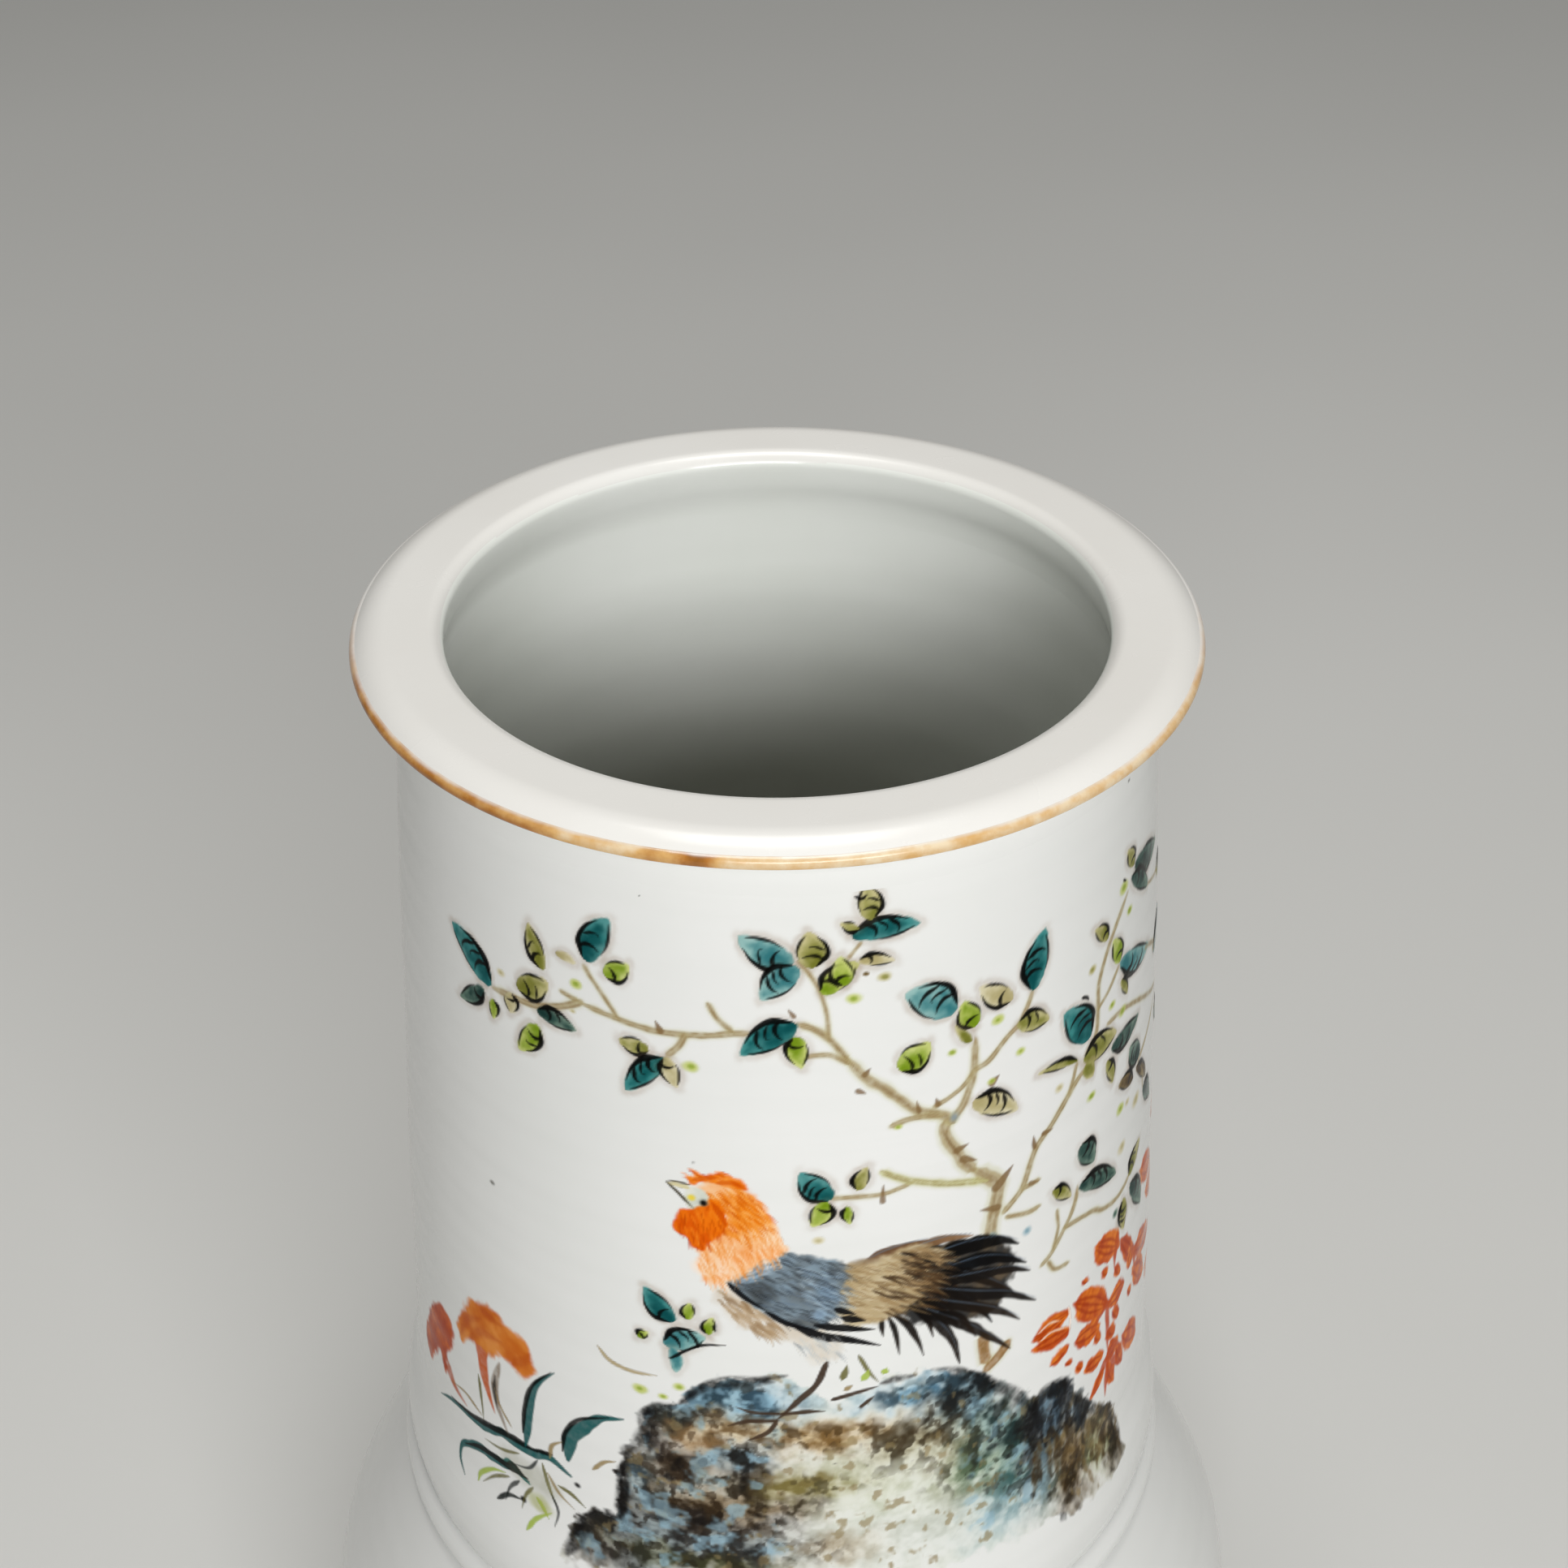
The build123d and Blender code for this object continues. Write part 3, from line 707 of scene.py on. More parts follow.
    wattle = [(-14.4, 172.8), (-12.2, 173.6), (-9.6, 175.6), (-8, 173.2), (-7.6, 170.8),
        (-9, 168.6), (-10.4, 167), (-11.2, 165.8), (-12.8, 166.6), (-13.6, 168.2), (-15, 168.8),
        (-15.5, 170.4)]
    canvas.patch(wattle, ((220, 88, 0), (236, 116, 8)), 0.95, soft=0.6, ragged=0.6, grain=1.6,
        seed=6, thick=0.06)
    barbs(canvas, wattle, -80, 70, 1.6, [deep, (190, 66, 0), (240, 138, 40)], 0.6)
    canvas.stroke([(-9.6, 174.8), (-8.4, 172.6), (-7.8, 170.8)], 1, deep, 0.8, taper=(0.2, 0.4))
    comb = [(-13, 178), (-13.4, 179.2), (-12.2, 179.2), (-12.4, 180.3), (-10.8, 179.6),
        (-9.6, 180.3), (-7.6, 180.5), (-5.6, 179.4), (-4.6, 177.8), (-7.6, 177.9), (-10, 178.4)]
    canvas.patch(comb, ((232, 112, 4), (244, 152, 56)), 0.92, soft=0.7, ragged=0.6, grain=1.2,
        seed=4, thick=0.06)
    barbs(canvas, comb, 160, 26, 1.5, [deep, orange, (244, 160, 100)], 0.6, 0.35)
    for points in (
        [(-9, 178.6), (-6.6, 178.8), (-4.8, 177.8)], [(-12.6, 178.6), (-11, 179.2), (-9, 179.6)],
    ):
        canvas.stroke(points, 0.8, deep, 0.6, soft=0.5)
    canvas.wash(-12.8, 175.3, 0.9, 0.8, (232, 206, 60), 0.9)
    canvas.stroke([(-16.4, 177.4), (-14.8, 177.3), (-13, 177)], 0.7, (214, 204, 160), 0.9,
        taper=(0.3, 0.1))
    canvas.stroke([(-13, 177.6), (-14.8, 177.9), (-16.6, 177.7)], 0.3, beak, 0.9)
    lower_bill = [(-16.5, 177.5), (-14.8, 175.9), (-13.4, 174.4), (-12.4, 173.4)]
    canvas.stroke(lower_bill, 0.42, beak, 0.95)
    canvas.wash(-11.1, 174.7, 1.1, 1, (176, 178, 164), 0.9)
    canvas.wash(-11, 174.6, 0.72, 0.72, INK, 1)


# Streaks down the rock's right lump: wet ink near its top, dry browns lower down.
WET_STREAKS = ((16, 16, 18), (40, 50, 58))
DRY_STREAKS = ((74, 54, 26), (44, 32, 16), (120, 98, 58))

# The rock's washes: where each lies, how far it reaches, its deep and light colours, and
# how dense it is.
ROCK_ZONES = (
    (-24.4, 114, 1.6, 7, (18, 16, 16), (46, 38, 34), 2.4),
    (-30, 102, 4.4, 5.6, (52, 46, 42), (118, 108, 96), 1.2),
    (-21, 117, 1.8, 5, (60, 84, 100), (158, 184, 198), 1.2),
    (-19.8, 127, 1.8, 5, (28, 24, 24), (74, 62, 54), 1.6),
    (-11, 138, 6, 3, (40, 60, 72), (132, 168, 184), 1.4),
    (-3, 137.6, 4.4, 3, (54, 80, 98), (146, 186, 206), 1.3),
    (-13, 128.6, 3, 2.2, (146, 110, 70), (188, 156, 116), 1.3),
    (-14.6, 122.6, 3, 2.6, (48, 38, 30), (98, 78, 58), 1.5),
    (-7, 125.6, 3.6, 2.2, (30, 38, 44), (126, 152, 168), 1.3),
    (-5.2, 121, 2.4, 3.2, (30, 28, 28), (84, 78, 72), 1.3),
    (6, 130, 8, 2.4, (124, 92, 50), (204, 178, 132), 1.2),
    (-8, 131.6, 6, 1.8, (122, 96, 64), (214, 196, 160), 1),
    (2, 119.6, 6.4, 2, (124, 110, 56), (170, 160, 110), 1.1),
    (-8, 115, 8.4, 1.8, (48, 36, 22), (144, 122, 92), 1.5),
    (-12, 111.4, 8.6, 1.6, (26, 22, 22), (76, 64, 56), 1.5),
    (-11, 107, 10, 2.8, (44, 48, 52), (126, 140, 146), 1.5),
    (-15, 102.8, 11, 1.8, (58, 58, 34), (112, 108, 72), 1.4),
    (19, 136.6, 6, 2.4, (84, 128, 156), (168, 200, 216), 1.2),
    (29, 132.4, 4.6, 4.2, (22, 30, 36), (112, 136, 146), 1.6),
    (20, 126, 6.6, 4, (74, 58, 34), (182, 174, 138), 0.8),
    (14, 119, 10, 6, (176, 182, 146), (212, 216, 190), 0.4),
    (20, 107, 13, 7, (208, 212, 204), (226, 229, 223), 0.8),
    (7.6, 106, 5, 2.4, (154, 124, 86), (204, 186, 156), 0.5),
    (31, 116, 4, 4.4, (70, 96, 70), (164, 182, 156), 1.2),
    (37.2, 111, 3, 4.6, (34, 72, 70), (120, 154, 148), 1.4),
    (36, 104, 6, 4.6, (140, 172, 182), (192, 212, 214), 0.9),
    (34, 119.4, 3.4, 1.8, (26, 34, 32), (84, 102, 94), 1.2),
    (42, 118, 2.2, 6.6, (12, 12, 16), (44, 46, 52), 2.6),
    (46, 118, 2.4, 5.4, (16, 26, 36), (96, 130, 154), 2),
    (49.2, 120, 2, 3.4, (18, 18, 22), (60, 64, 72), 2),
    (53.4, 113.6, 2.4, 3.4, (54, 58, 62), (128, 158, 180), 1.6),
    (50.4, 104.6, 3.4, 7.4, (40, 28, 12), (128, 106, 72), 1.6),
    (57.6, 102.4, 3, 3.6, (144, 150, 104), (190, 194, 160), 1),
    (62.6, 100.6, 2.4, 5.4, (34, 26, 12), (122, 104, 70), 1.5),
    (-13, 116, 11, 9, (62, 44, 26), (164, 154, 130), 0.6),
    (-22, 104, 6, 6, (30, 32, 34), (124, 146, 156), 0.7),
    (33, 125, 4.6, 5, (40, 58, 60), (146, 174, 172), 1),
    (27, 118, 4.4, 8, (122, 116, 76), (202, 206, 176), 0.4),
    (37, 120, 4, 4, (24, 44, 46), (110, 142, 138), 1.3),
    (-17, 133, 4, 3, (34, 38, 38), (116, 128, 128), 1.2),
    (45, 103, 3, 4.6, (92, 102, 94), (168, 178, 174), 1),
    (60, 107, 3.4, 3, (74, 60, 40), (140, 122, 88), 1.2),
)


def paint_rock(canvas):
    """A weathered garden rock under the bird: pooled washes that run together, then ink accents."""
    outline = [(-34.6, 95), (-33, 102), (-30, 107), (-26, 108), (-25, 113), (-24.5, 121),
        (-22, 126), (-20.5, 132), (-15, 135.4), (-10, 140.6), (-4, 141.4), (0.4, 142.8),
        (3, 140.4), (7, 137.4), (11, 137.2), (15, 139.2), (20, 139.9), (27.5, 137.6), (31, 134.6),
        (34.5, 132), (38, 127.6), (41, 124.4), (46, 124.2), (50, 121.2), (53, 116.6), (58, 110.4),
        (62, 106.8), (65, 100.6), (64.4, 93), (54, 93.4), (46, 95), (36, 97), (24, 97.5),
        (8, 98.5), (-8, 98.4), (-24, 97)]
    path = curve(outline + [outline[0]], 4)
    part, s, h = canvas.near(path, 2.5)
    mask = step(canvas.depth(path, s, h, 1.5, 2) / 1.1 + 0.5)
    across = s + 5.0 * (layered(s, h, 5, 40) - 0.5) + 2.4 * (noise(s, h, 1.5, 44) - 0.5)
    up = h + 4.4 * (layered(s, h, 5, 43) - 0.5) + 2.4 * (noise(s, h, 1.5, 47) - 0.5)
    total = np.full(s.shape, 0.06)
    deep = total[..., None] * shade((146, 150, 116))
    light = total[..., None] * shade((212, 214, 190))
    for s0, h0, wide, high, dark_hue, light_hue, dense in ROCK_ZONES:
        weight = dense * np.exp(-0.85 * (((across - s0) / wide) ** 2 + ((up - h0) / high) ** 2))
        deep += weight[..., None] * shade(dark_hue)
        light += weight[..., None] * shade(light_hue)
        total += weight
    deep, light = deep / total[..., None], light / total[..., None]
    dense = np.clip(total, 0, 1.3)
    gloom = step((dense - 0.3) / 0.6) * step((0.68 - deep.mean(-1)) / 0.2)
    pools = step((layered(s, h, 3, 51) - 0.35) / 0.28)
    rims = np.exp(-(((layered(s + 40, h, 3, 51) - 0.5) / 0.03) ** 2))
    fine = layered(s, h, 1.1, 53)
    share = dense * (0.78 * (1 - pools) + 0.22 * rims) + 0.9 * (fine - 0.45)
    share = np.clip(share, 0, 1)[..., None]
    cover = np.clip(0.36 + 0.5 * dense - 0.24 * pools + 0.3 * (fine - 0.5), 0, 0.96)
    canvas.lay(part, mask * cover, light + (deep - light) * share, 0.02)
    for size, seed, limit, hue, strength in (
        (2.2, 61, 0.57, (26, 20, 16), 0.85), (1.5, 66, 0.62, (44, 34, 26), 0.7),
        (3, 76, 0.64, (92, 70, 42), 0.4),
    ):
        spots = step((layered(s, h * 0.8, size, seed) - limit) / 0.08) * gloom
        canvas.lay(part, mask * spots * strength * (0.6 + 0.4 * noise(s, h, 0.8, 5)),
            0.5 * deep + 0.5 * shade(hue))
    dots = step((layered(s, h * 0.8, 1.9, 81) - 0.66) / 0.12) * mask * 0.5
    canvas.lay(part, dots, shade((140, 122, 84)))
    glints = step((layered(s, h, 2.8, 71) - 0.55) / 0.16) * step((dense - 0.5) / 0.5)
    sides = np.maximum(step((4 - s) / 6), 0.8 * step((s - 26) / 4)) * (1 - step((s - 44) / 3))
    glints = glints * sides
    canvas.lay(part, mask * glints * 0.55, shade((146, 184, 204)))
    # Dark edges, then streaks hanging down the right lump.
    for width, *points in (
        (2.6, (-34, 96), (-32, 101), (-29, 106), (-26, 107.6)),
        (2, (-25, 108), (-24.4, 114), (-23.8, 121)),
        (1.8, (-22.6, 124), (-20.6, 128), (-19.4, 132.6), (-15.6, 134.8)),
        (1.4, (-14.6, 135.8), (-10.6, 139.6), (-6, 140.6), (-1, 141.4)),
        (2, (27, 137.4), (31.4, 133.6), (35, 130), (38.4, 126.4), (41, 122)),
        (2.8, (41.6, 121), (43.6, 123.6), (46, 123), (49.6, 120)),
        (1.8, (50, 119), (53.4, 114), (57.6, 109.6), (61.6, 105.4), (64, 100.6)),
        (2.2, (40, 116), (40.6, 120), (41.4, 123)),
    ):
        canvas.stroke(points, width, (18, 18, 18), 0.8, soft=1.1, taper=(0.15, 0.2), dry=0.9)
    edge_s, edge_h = np.array(outline[20:28]).T
    for _ in range(90):
        s0 = canvas.draw.uniform(41.5, 64)
        fall = canvas.draw.uniform(0.5, 17)
        h0 = np.interp(s0, edge_s, edge_h) - fall
        run = canvas.draw.uniform(2.5, 6)
        if h0 - run < 95:
            continue
        hue = canvas.pick(WET_STREAKS if fall < 8 and s0 < 54 else DRY_STREAKS)
        middle = (s0 + canvas.draw.normal(0.2, 0.4), h0 - run / 2)
        foot = (s0 + canvas.draw.normal(0.5, 0.6), h0 - run)
        width = canvas.draw.uniform(0.7, 1.8)
        canvas.stroke([(s0, h0), middle, foot], width, hue, 0.7, 0.7, taper=(0.2, 0.4), dry=0.7)
    for width, *points in (
        (1.6, (-25, 107.6), (-24.6, 112), (-24, 119.6)), (1.4, (-24.4, 121.8), (-22.6, 124.2)),
        (1.1, (-21.4, 129), (-20.4, 132), (-18, 133.2)),
        (1.7, (-19.8, 124), (-19.4, 127), (-19, 130.4)),
        (0.9, (-15, 135.2), (-12.4, 138.2), (-10, 140.6), (-7.4, 142)),
        (0.8, (-7, 142), (-3, 141.8), (1, 142.6)), (1.2, (-33.4, 99), (-31.6, 104), (-29, 107.4)),
        (1, (-27.6, 108.4), (-25.4, 107.4)), (1.3, (-17.6, 119.4), (-15.8, 119.6)),
        (1.5, (-16.4, 121), (-14.4, 123.8), (-12.6, 124.6)),
        (1.2, (-6, 118.2), (-5.4, 121), (-5, 124.2)), (1.1, (-21, 110), (-17, 110.2)),
        (1.2, (-14.6, 111), (-9, 111.5)), (0.9, (-4.4, 113.6), (-2, 113.4)),
        (1, (-5.6, 105), (-3, 107.7)), (0.9, (15, 139.1), (17.5, 139.4), (20.2, 139.2)),
        (0.7, (23, 139.4), (27.5, 137.6), (31, 134.6)), (1.3, (33.4, 132.4), (33.6, 130.8)),
        (1.1, (28.4, 130.6), (29.6, 129.8)), (1, (32.6, 118.6), (34.6, 118.4)),
        (1, (37.6, 119.2), (39.4, 118.8)), (0.9, (36.2, 115), (36.8, 114.2)),
        (0.9, (29, 114.2), (30.2, 113.8)), (0.9, (38.4, 109.8), (39.6, 109.2)),
        (0.8, (41.6, 103), (42.4, 102)), (0.8, (45, 100.6), (45.8, 99.4)),
        (2.2, (41.8, 113), (41.2, 118), (42, 123.6)), (1.6, (43.2, 116), (43.4, 121)),
        (1.3, (45, 124.2), (48, 123.2), (50, 120.6)), (1.6, (47.6, 118), (48.6, 121.4)),
        (1.2, (50.6, 111.6), (51.6, 112.8)), (1, (53.6, 110.6), (54.4, 111.8)),
        (1.3, (49.2, 98), (48.8, 104), (49.4, 110)), (1.2, (52, 97.6), (52.4, 103), (51.8, 108)),
        (1.1, (59.4, 95.4), (59.8, 99)), (1.2, (61.4, 104.2), (62.6, 106)),
        (1.2, (64.4, 94), (65, 98.6), (64.2, 103)), (1, (47.2, 95.2), (48, 93.8)),
        (1, (50.6, 95), (51.4, 93.2)),
    ):
        tone = (60, 44, 22) if points[0][0] > 48.5 and points[0][1] < 106 else (12, 10, 10)
        canvas.stroke(points, width * 1.2, tone, 0.85, soft=0.9, taper=(0.3, 0.4), dry=0.95)


def paint_grass(canvas):
    """An orchid-like clump on the left with two red fungi, and sprigs on the rock."""
    teal, lime = (14, 88, 88), (168, 188, 84)
    for width, hue, *points in (
        (1.9, teal, (-33.5, 112.5), (-37.5, 114), (-41, 113), (-45, 112.5), (-48, 112.5),
         (-51, 111), (-54, 110), (-59, 109), (-63.5, 107.5), (-67.5, 105)),
        (1.3, INK, (-40, 113.8), (-46, 113.2), (-51, 111.8), (-56, 110.2), (-63, 108.4)),
        (0.9, INK, (-37, 115), (-39, 114.4), (-41, 113.8)),
        (1.9, teal, (-42, 105.5), (-46, 107), (-47.5, 106), (-51, 105), (-54, 104.5),
         (-57.5, 102.5), (-59.5, 100.5), (-59.5, 98), (-57.5, 96)),
        (1.7, teal, (-42.5, 113.5), (-42, 117.5), (-41.5, 121), (-40.5, 126), (-39, 129.5),
         (-36, 133)),
        (0.9, INK, (-43, 116), (-42.3, 122), (-40.6, 127.6), (-36.6, 132.8)),
        (1.3, INK, (-42.4, 106.4), (-49, 105.9), (-54, 104.6), (-58.4, 101.8)),
        (0.8, INK, (-47, 106.4), (-45.4, 107.4), (-42, 106)),
        (2.5, teal, (-34, 115.6), (-33.5, 120.5), (-31, 124), (-28, 127.5), (-24, 129)),
        (0.8, INK, (-35, 117), (-34.3, 121.4), (-31.6, 125.6), (-26.4, 128.4)),
        (0.8, OCHRE, (-37.5, 114), (-37, 117), (-35, 119)),
        (0.8, OCHRE, (-29.5, 116), (-27.5, 118.5), (-25.5, 119.5)),
        (0.8, MOSS, (-36, 109), (-33.6, 108.6), (-31, 107)),
        (0.8, MOSS, (-39, 112), (-38, 108), (-36.5, 104)),
        (1, BLADE, (-49, 97.5), (-46.5, 100), (-43.5, 101)),
        (0.9, lime, (-54, 97.5), (-53.5, 99.5), (-50.5, 102.5), (-47.5, 104)),
        (0.9, lime, (-42, 96), (-40.5, 99), (-37.5, 102)),
        (0.9, lime, (-40.5, 103.5), (-39.4, 102.4), (-38, 100.5)),
        (0.7, MOSS, (-53.5, 121), (-53, 116.5), (-52.5, 112)),
        (0.7, MOSS, (11.5, 145.5), (13, 142), (14.5, 139.5)),
        (1, MOSS, (9, 141), (9.5, 142.5), (9.8, 143.8)),
        (1.2, lime, (12, 140.4), (12.7, 141.4), (13, 142.4)), (1.2, lime, (15.2, 141), (15.8, 142)),
        (0.8, OCHRE, (9.4, 138.8), (10.6, 139.6)),
    ):
        canvas.stroke(points, width, hue, 0.9, soft=0.35, taper=(0.2, 0.5), dry=0.25, thick=0.04)
    for s, h in ((-32.3, 111.2), (-43.3, 101.2)):
        canvas.wash(s, h, 0.9, 0.8, INK, 0.95)
    # Fungi: stems, a thin wash behind them, caps and gills.
    for width, hue, alpha, soft, taper, dry, *points in (
        (3, (196, 88, 16), 0.9, 0.6, (0, 0.85), 0.4, (-52.4, 128.4), (-51.6, 121), (-49.6, 115.6)),
        (1.6, (122, 96, 66), 0.7, 0.6, (0.2, 0.5), 0.6, (-47.8, 127.5), (-49.2, 122),
         (-48.6, 117.5), (-46, 112.5)),
        (0.8, (30, 26, 22), 0.8, 0.5, (0.4, 0.4), 0.5, (-49, 124), (-49.4, 120), (-48.8, 117)),
        (2.2, (184, 78, 8), 0.8, 0.9, (0, 0.8), 0.6, (-64.6, 115.4), (-61.6, 112.4), (-57.5, 111)),
    ):
        canvas.stroke(points, width, hue, alpha, soft, taper, dry)
    canvas.wash(-41.5, 107.5, 8, 4.6, (158, 158, 130), 0.3, seed=2)
    canvas.wash(-39.5, 102.6, 3.4, 2.4, (168, 172, 88), 0.45, seed=5)
    left_cap = [(-74.5, 113), (-72.5, 109), (-69.5, 112), (-67, 115), (-64.5, 112), (-64, 116.5),
        (-61, 122), (-62.5, 126), (-66, 126), (-69.5, 122.5), (-72.5, 118)]
    canvas.patch(left_cap, ((172, 58, 0), (214, 100, 8)), 0.92, soft=1.3, ragged=0.7, grain=2.4,
        seed=6, thick=0.05)
    cap = [(-59.5, 127), (-57, 132.5), (-55, 135.5), (-52, 137), (-49, 138), (-46, 137),
        (-42.5, 136.5), (-40.5, 134), (-40, 131), (-42, 128.5), (-45, 129), (-47.5, 130),
        (-49, 128), (-50.5, 127.5), (-53.5, 127.5), (-56, 126.5), (-58, 124.5)]
    canvas.patch(cap, ((202, 100, 12), (226, 142, 62)), 0.9, soft=1.4, ragged=0.8, grain=3.4,
        seed=8, thick=0.05)
    for points in (
        [(-58.4, 126), (-56, 131), (-52, 134)], [(-55.6, 127), (-52, 131), (-47, 132.6)],
        [(-44.6, 129.6), (-42, 132), (-41, 134)], [(-72, 112), (-70, 117), (-66, 121.6)],
        [(-68, 116), (-65, 120), (-63, 123.6)], [(-52, 136), (-47, 136)],
    ):
        canvas.stroke(points, 1.6, (170, 62, 14), 0.45, soft=1.2, taper=(0.2, 0.4), dry=0.5)
    # Fine blades over the clump.
    for width, hue, *points in (
        (0.6, BLADE, (-40, 112), (-42, 109), (-45.4, 107.6)),
        (0.7, OCHRE, (-38, 110.5), (-36, 107.5), (-33, 105.4)),
        (0.7, MOSS, (-44, 110.8), (-48, 108.8), (-52.4, 107.8)),
        (0.7, MOSS, (-46.6, 103.8), (-50, 101.4), (-52.8, 98.2)),
        (0.8, BLADE, (-44.2, 104.6), (-46.4, 101.6), (-47.2, 98.4)),
        (0.7, MOSS, (-41.2, 105.2), (-42.8, 102.6), (-43.6, 99.2)),
        (0.6, BLADE, (-37.4, 106.2), (-36.2, 103), (-36.8, 99.6)),
        (0.6, OCHRE, (-53, 112.6), (-57.6, 113.6), (-62.4, 112.4)),
        (0.6, OCHRE, (-45.6, 115.4), (-48.2, 118.4), (-49.4, 121.6)),
    ):
        canvas.stroke(points, width, hue, 0.8, soft=0.35, taper=(0.2, 0.6), dry=0.3)


def petal(canvas, s0, h0, s1, h1, wide, slits=2):
    """One coral petal or leaf, with darker strokes along it and a pale slit between."""
    root, tip = np.array((s0, h0), float), np.array((s1, h1), float)
    across = np.array([-(tip - root)[1], (tip - root)[0]]) / math.hypot(*(tip - root))

    def place(u, v):
        return tuple(root + (tip - root) * u + across * v * wide / 2)

    outline = [place(0, 0), place(0.28, 0.9), place(0.7, 0.9), place(1, 0), place(0.7, -0.9),
        place(0.28, -0.9)]
    canvas.patch(outline, CORAL, 0.9, soft=0.7, ragged=0.6, grain=1.6, seed=int(abs(s0)) % 5,
        thick=0.05)
    for v in (-0.45, 0.45, 0)[:slits]:
        canvas.stroke([place(0.08, v * 0.4), place(0.5, v), place(0.92, v * 0.4)], 0.6, RUST, 0.6,
            taper=(0.2, 0.5))


def paint_flowers(canvas):
    """Coral blossoms and leaves falling down the right side."""
    for s0, h0, s1, h1, wide, slits in (
        (40.4, 136.2, 49.2, 137, 4.4, 3), (41, 134.4, 49.6, 133.2, 3.2, 2),
        (44.6, 128.4, 49.2, 130, 2.8, 1), (50, 138, 60, 130.4, 6, 3),
        (55.5, 145.8, 64, 139.4, 5.5, 3), (64.5, 140.4, 70.4, 132, 3.6, 2),
        (70, 135, 68, 131.4, 3, 2), (50.4, 129.5, 58.2, 127.6, 4.2, 2),
        (60, 129.8, 66.8, 129.8, 4.2, 2), (52.2, 141.2, 54, 139.8, 1.8, 1),
        (58.2, 138.4, 60, 137, 1.8, 1), (62.4, 136.4, 64.4, 133.4, 2.4, 1),
        (56.2, 126.4, 58.2, 124.6, 2, 1), (48.4, 126.6, 50.2, 125.8, 1.4, 1),
        (51.4, 123.6, 53.2, 122.4, 1.6, 1), (68.2, 126.6, 70, 124.8, 1.8, 1),
        (53.6, 121.2, 59, 120.2, 3.4, 2), (62, 127.4, 64.4, 124.4, 2.6, 1),
        (60.4, 124.6, 63.4, 121.6, 2.8, 1), (60, 118.4, 64.8, 119.2, 4.2, 2),
        (60.2, 117, 55.6, 113.2, 2.6, 1), (60.8, 117.2, 63.4, 110.8, 2.6, 1),
        (64, 118.2, 66.8, 112.2, 2.8, 1), (66.4, 118.2, 74.4, 111.8, 5.2, 2),
        (70.4, 129.4, 78.4, 122, 5.2, 2), (70, 133.4, 84, 127, 5.4, 2),
        (73, 147.6, 84, 141, 5.6, 2), (78, 139, 90, 134, 5.2, 2), (80, 121, 88, 116, 4.6, 2),
        (84, 152, 93, 148, 4.8, 2),
    ):
        petal(canvas, s0, h0, s1, h1, wide, slits)
    for points in (
        [(60, 131), (60.4, 126), (60.6, 120)], [(60, 130.4), (55, 128.6)],
        [(61.6, 121), (65.6, 117)], [(61, 120), (60.8, 115), (60.4, 110)],
        [(60.4, 118.6), (58, 115.6), (55.6, 113.6)], [(61.6, 118), (64, 114.8), (65.6, 112.4)],
        [(63, 143), (62.6, 139), (62.2, 136)], [(70.2, 134.6), (72, 128)],
        [(58.6, 131.4), (61.6, 129.6)],
    ):
        canvas.stroke(points, 1.3, CORAL[0], 0.85, soft=0.5, taper=(0.1, 0.4), dry=0.35)
    for points in (
        [(42, 137), (44.6, 137.6), (47, 136.6)], [(42.4, 135.2), (45, 135.6), (48.6, 134.2)],
        [(49, 138), (49.4, 135), (49.2, 132.6)],
    ):
        canvas.stroke(points, 0.45, (250, 232, 220), 0.85)


def paint_far_side(canvas):
    """Twigs that carry the leaves round the right side, and two leaves at their ends."""
    for width, *points in (
        (0.8, (72.6, 192), (75, 191)), (0.8, (86, 176.8), (79, 174.4), (70.4, 171.8)),
        (0.6, (86, 176.6), (85, 174.2), (84.2, 172.2)),
        (0.6, (71.8, 170), (73.2, 167), (74, 164.2)),
        (0.7, (73.4, 203.2), (78, 201.4), (82.4, 200)), (0.6, (79, 188.4), (80, 186.4)),
    ):
        twig(canvas, points, width)
    leaf(canvas, 93.4, 180.6, 99.4, 184.2, 3.6, OLIVE, 3)
    leaf(canvas, 90, 181.8, 95.6, 175.8, 3, LIME, 2)


def paint(canvas):
    """The whole painting, from the back to the front, and a few specks in the glaze."""
    paint_flowers(canvas)
    paint_branches(canvas)
    paint_leaves(canvas)
    paint_rock(canvas)
    paint_grass(canvas)
    paint_bird(canvas)
    paint_far_side(canvas)
    for s, h, size in (
        (-48, 164, 0.8), (64.2, 226.9, 0.5), (8, 124, 0.3), (-20, 226, 0.25), (-12.4, 181.8, 0.3),
    ):
        canvas.wash(s, h, size, size * 0.7, (110, 106, 100), 0.7)


# Meshes ---------------------------------------------------------------------------------


def mesh_of(name, points, faces):
    """A new object made of the points, in metres, and the faces."""
    mesh = bpy.data.meshes.new(name)
    mesh.from_pydata(points, [], faces)
    mesh.update()
    piece = bpy.data.objects.new(name, mesh)
    bpy.context.scene.collection.objects.link(piece)
    return piece


# The thrower's marks, in mm: out of round, fingertip rings and slow swells.
OVAL, THREE_SIDED, RINGS, FINE_RINGS, SWELLS = 0.10, 0.05, 0.040, 0.026, 0.05


def unevenness(turn, z):
    """How far the hand-thrown wall leaves a true circle, in mm, all round the pot."""
    warp = OVAL * np.sin(2 * turn + 0.6) + THREE_SIDED * np.sin(3 * turn + z / 55)
    rings = RINGS * np.sin(z / 1.9 + 0.8 * np.sin(turn + 0.4))
    fine = FINE_RINGS * np.sin(z / 0.83 + 1.3 * np.sin(2 * turn))
    slow = SWELLS * np.sin(z / 9.5 + 1.1 * np.sin(turn - 1.0))
    return warp + (rings + fine) + slow


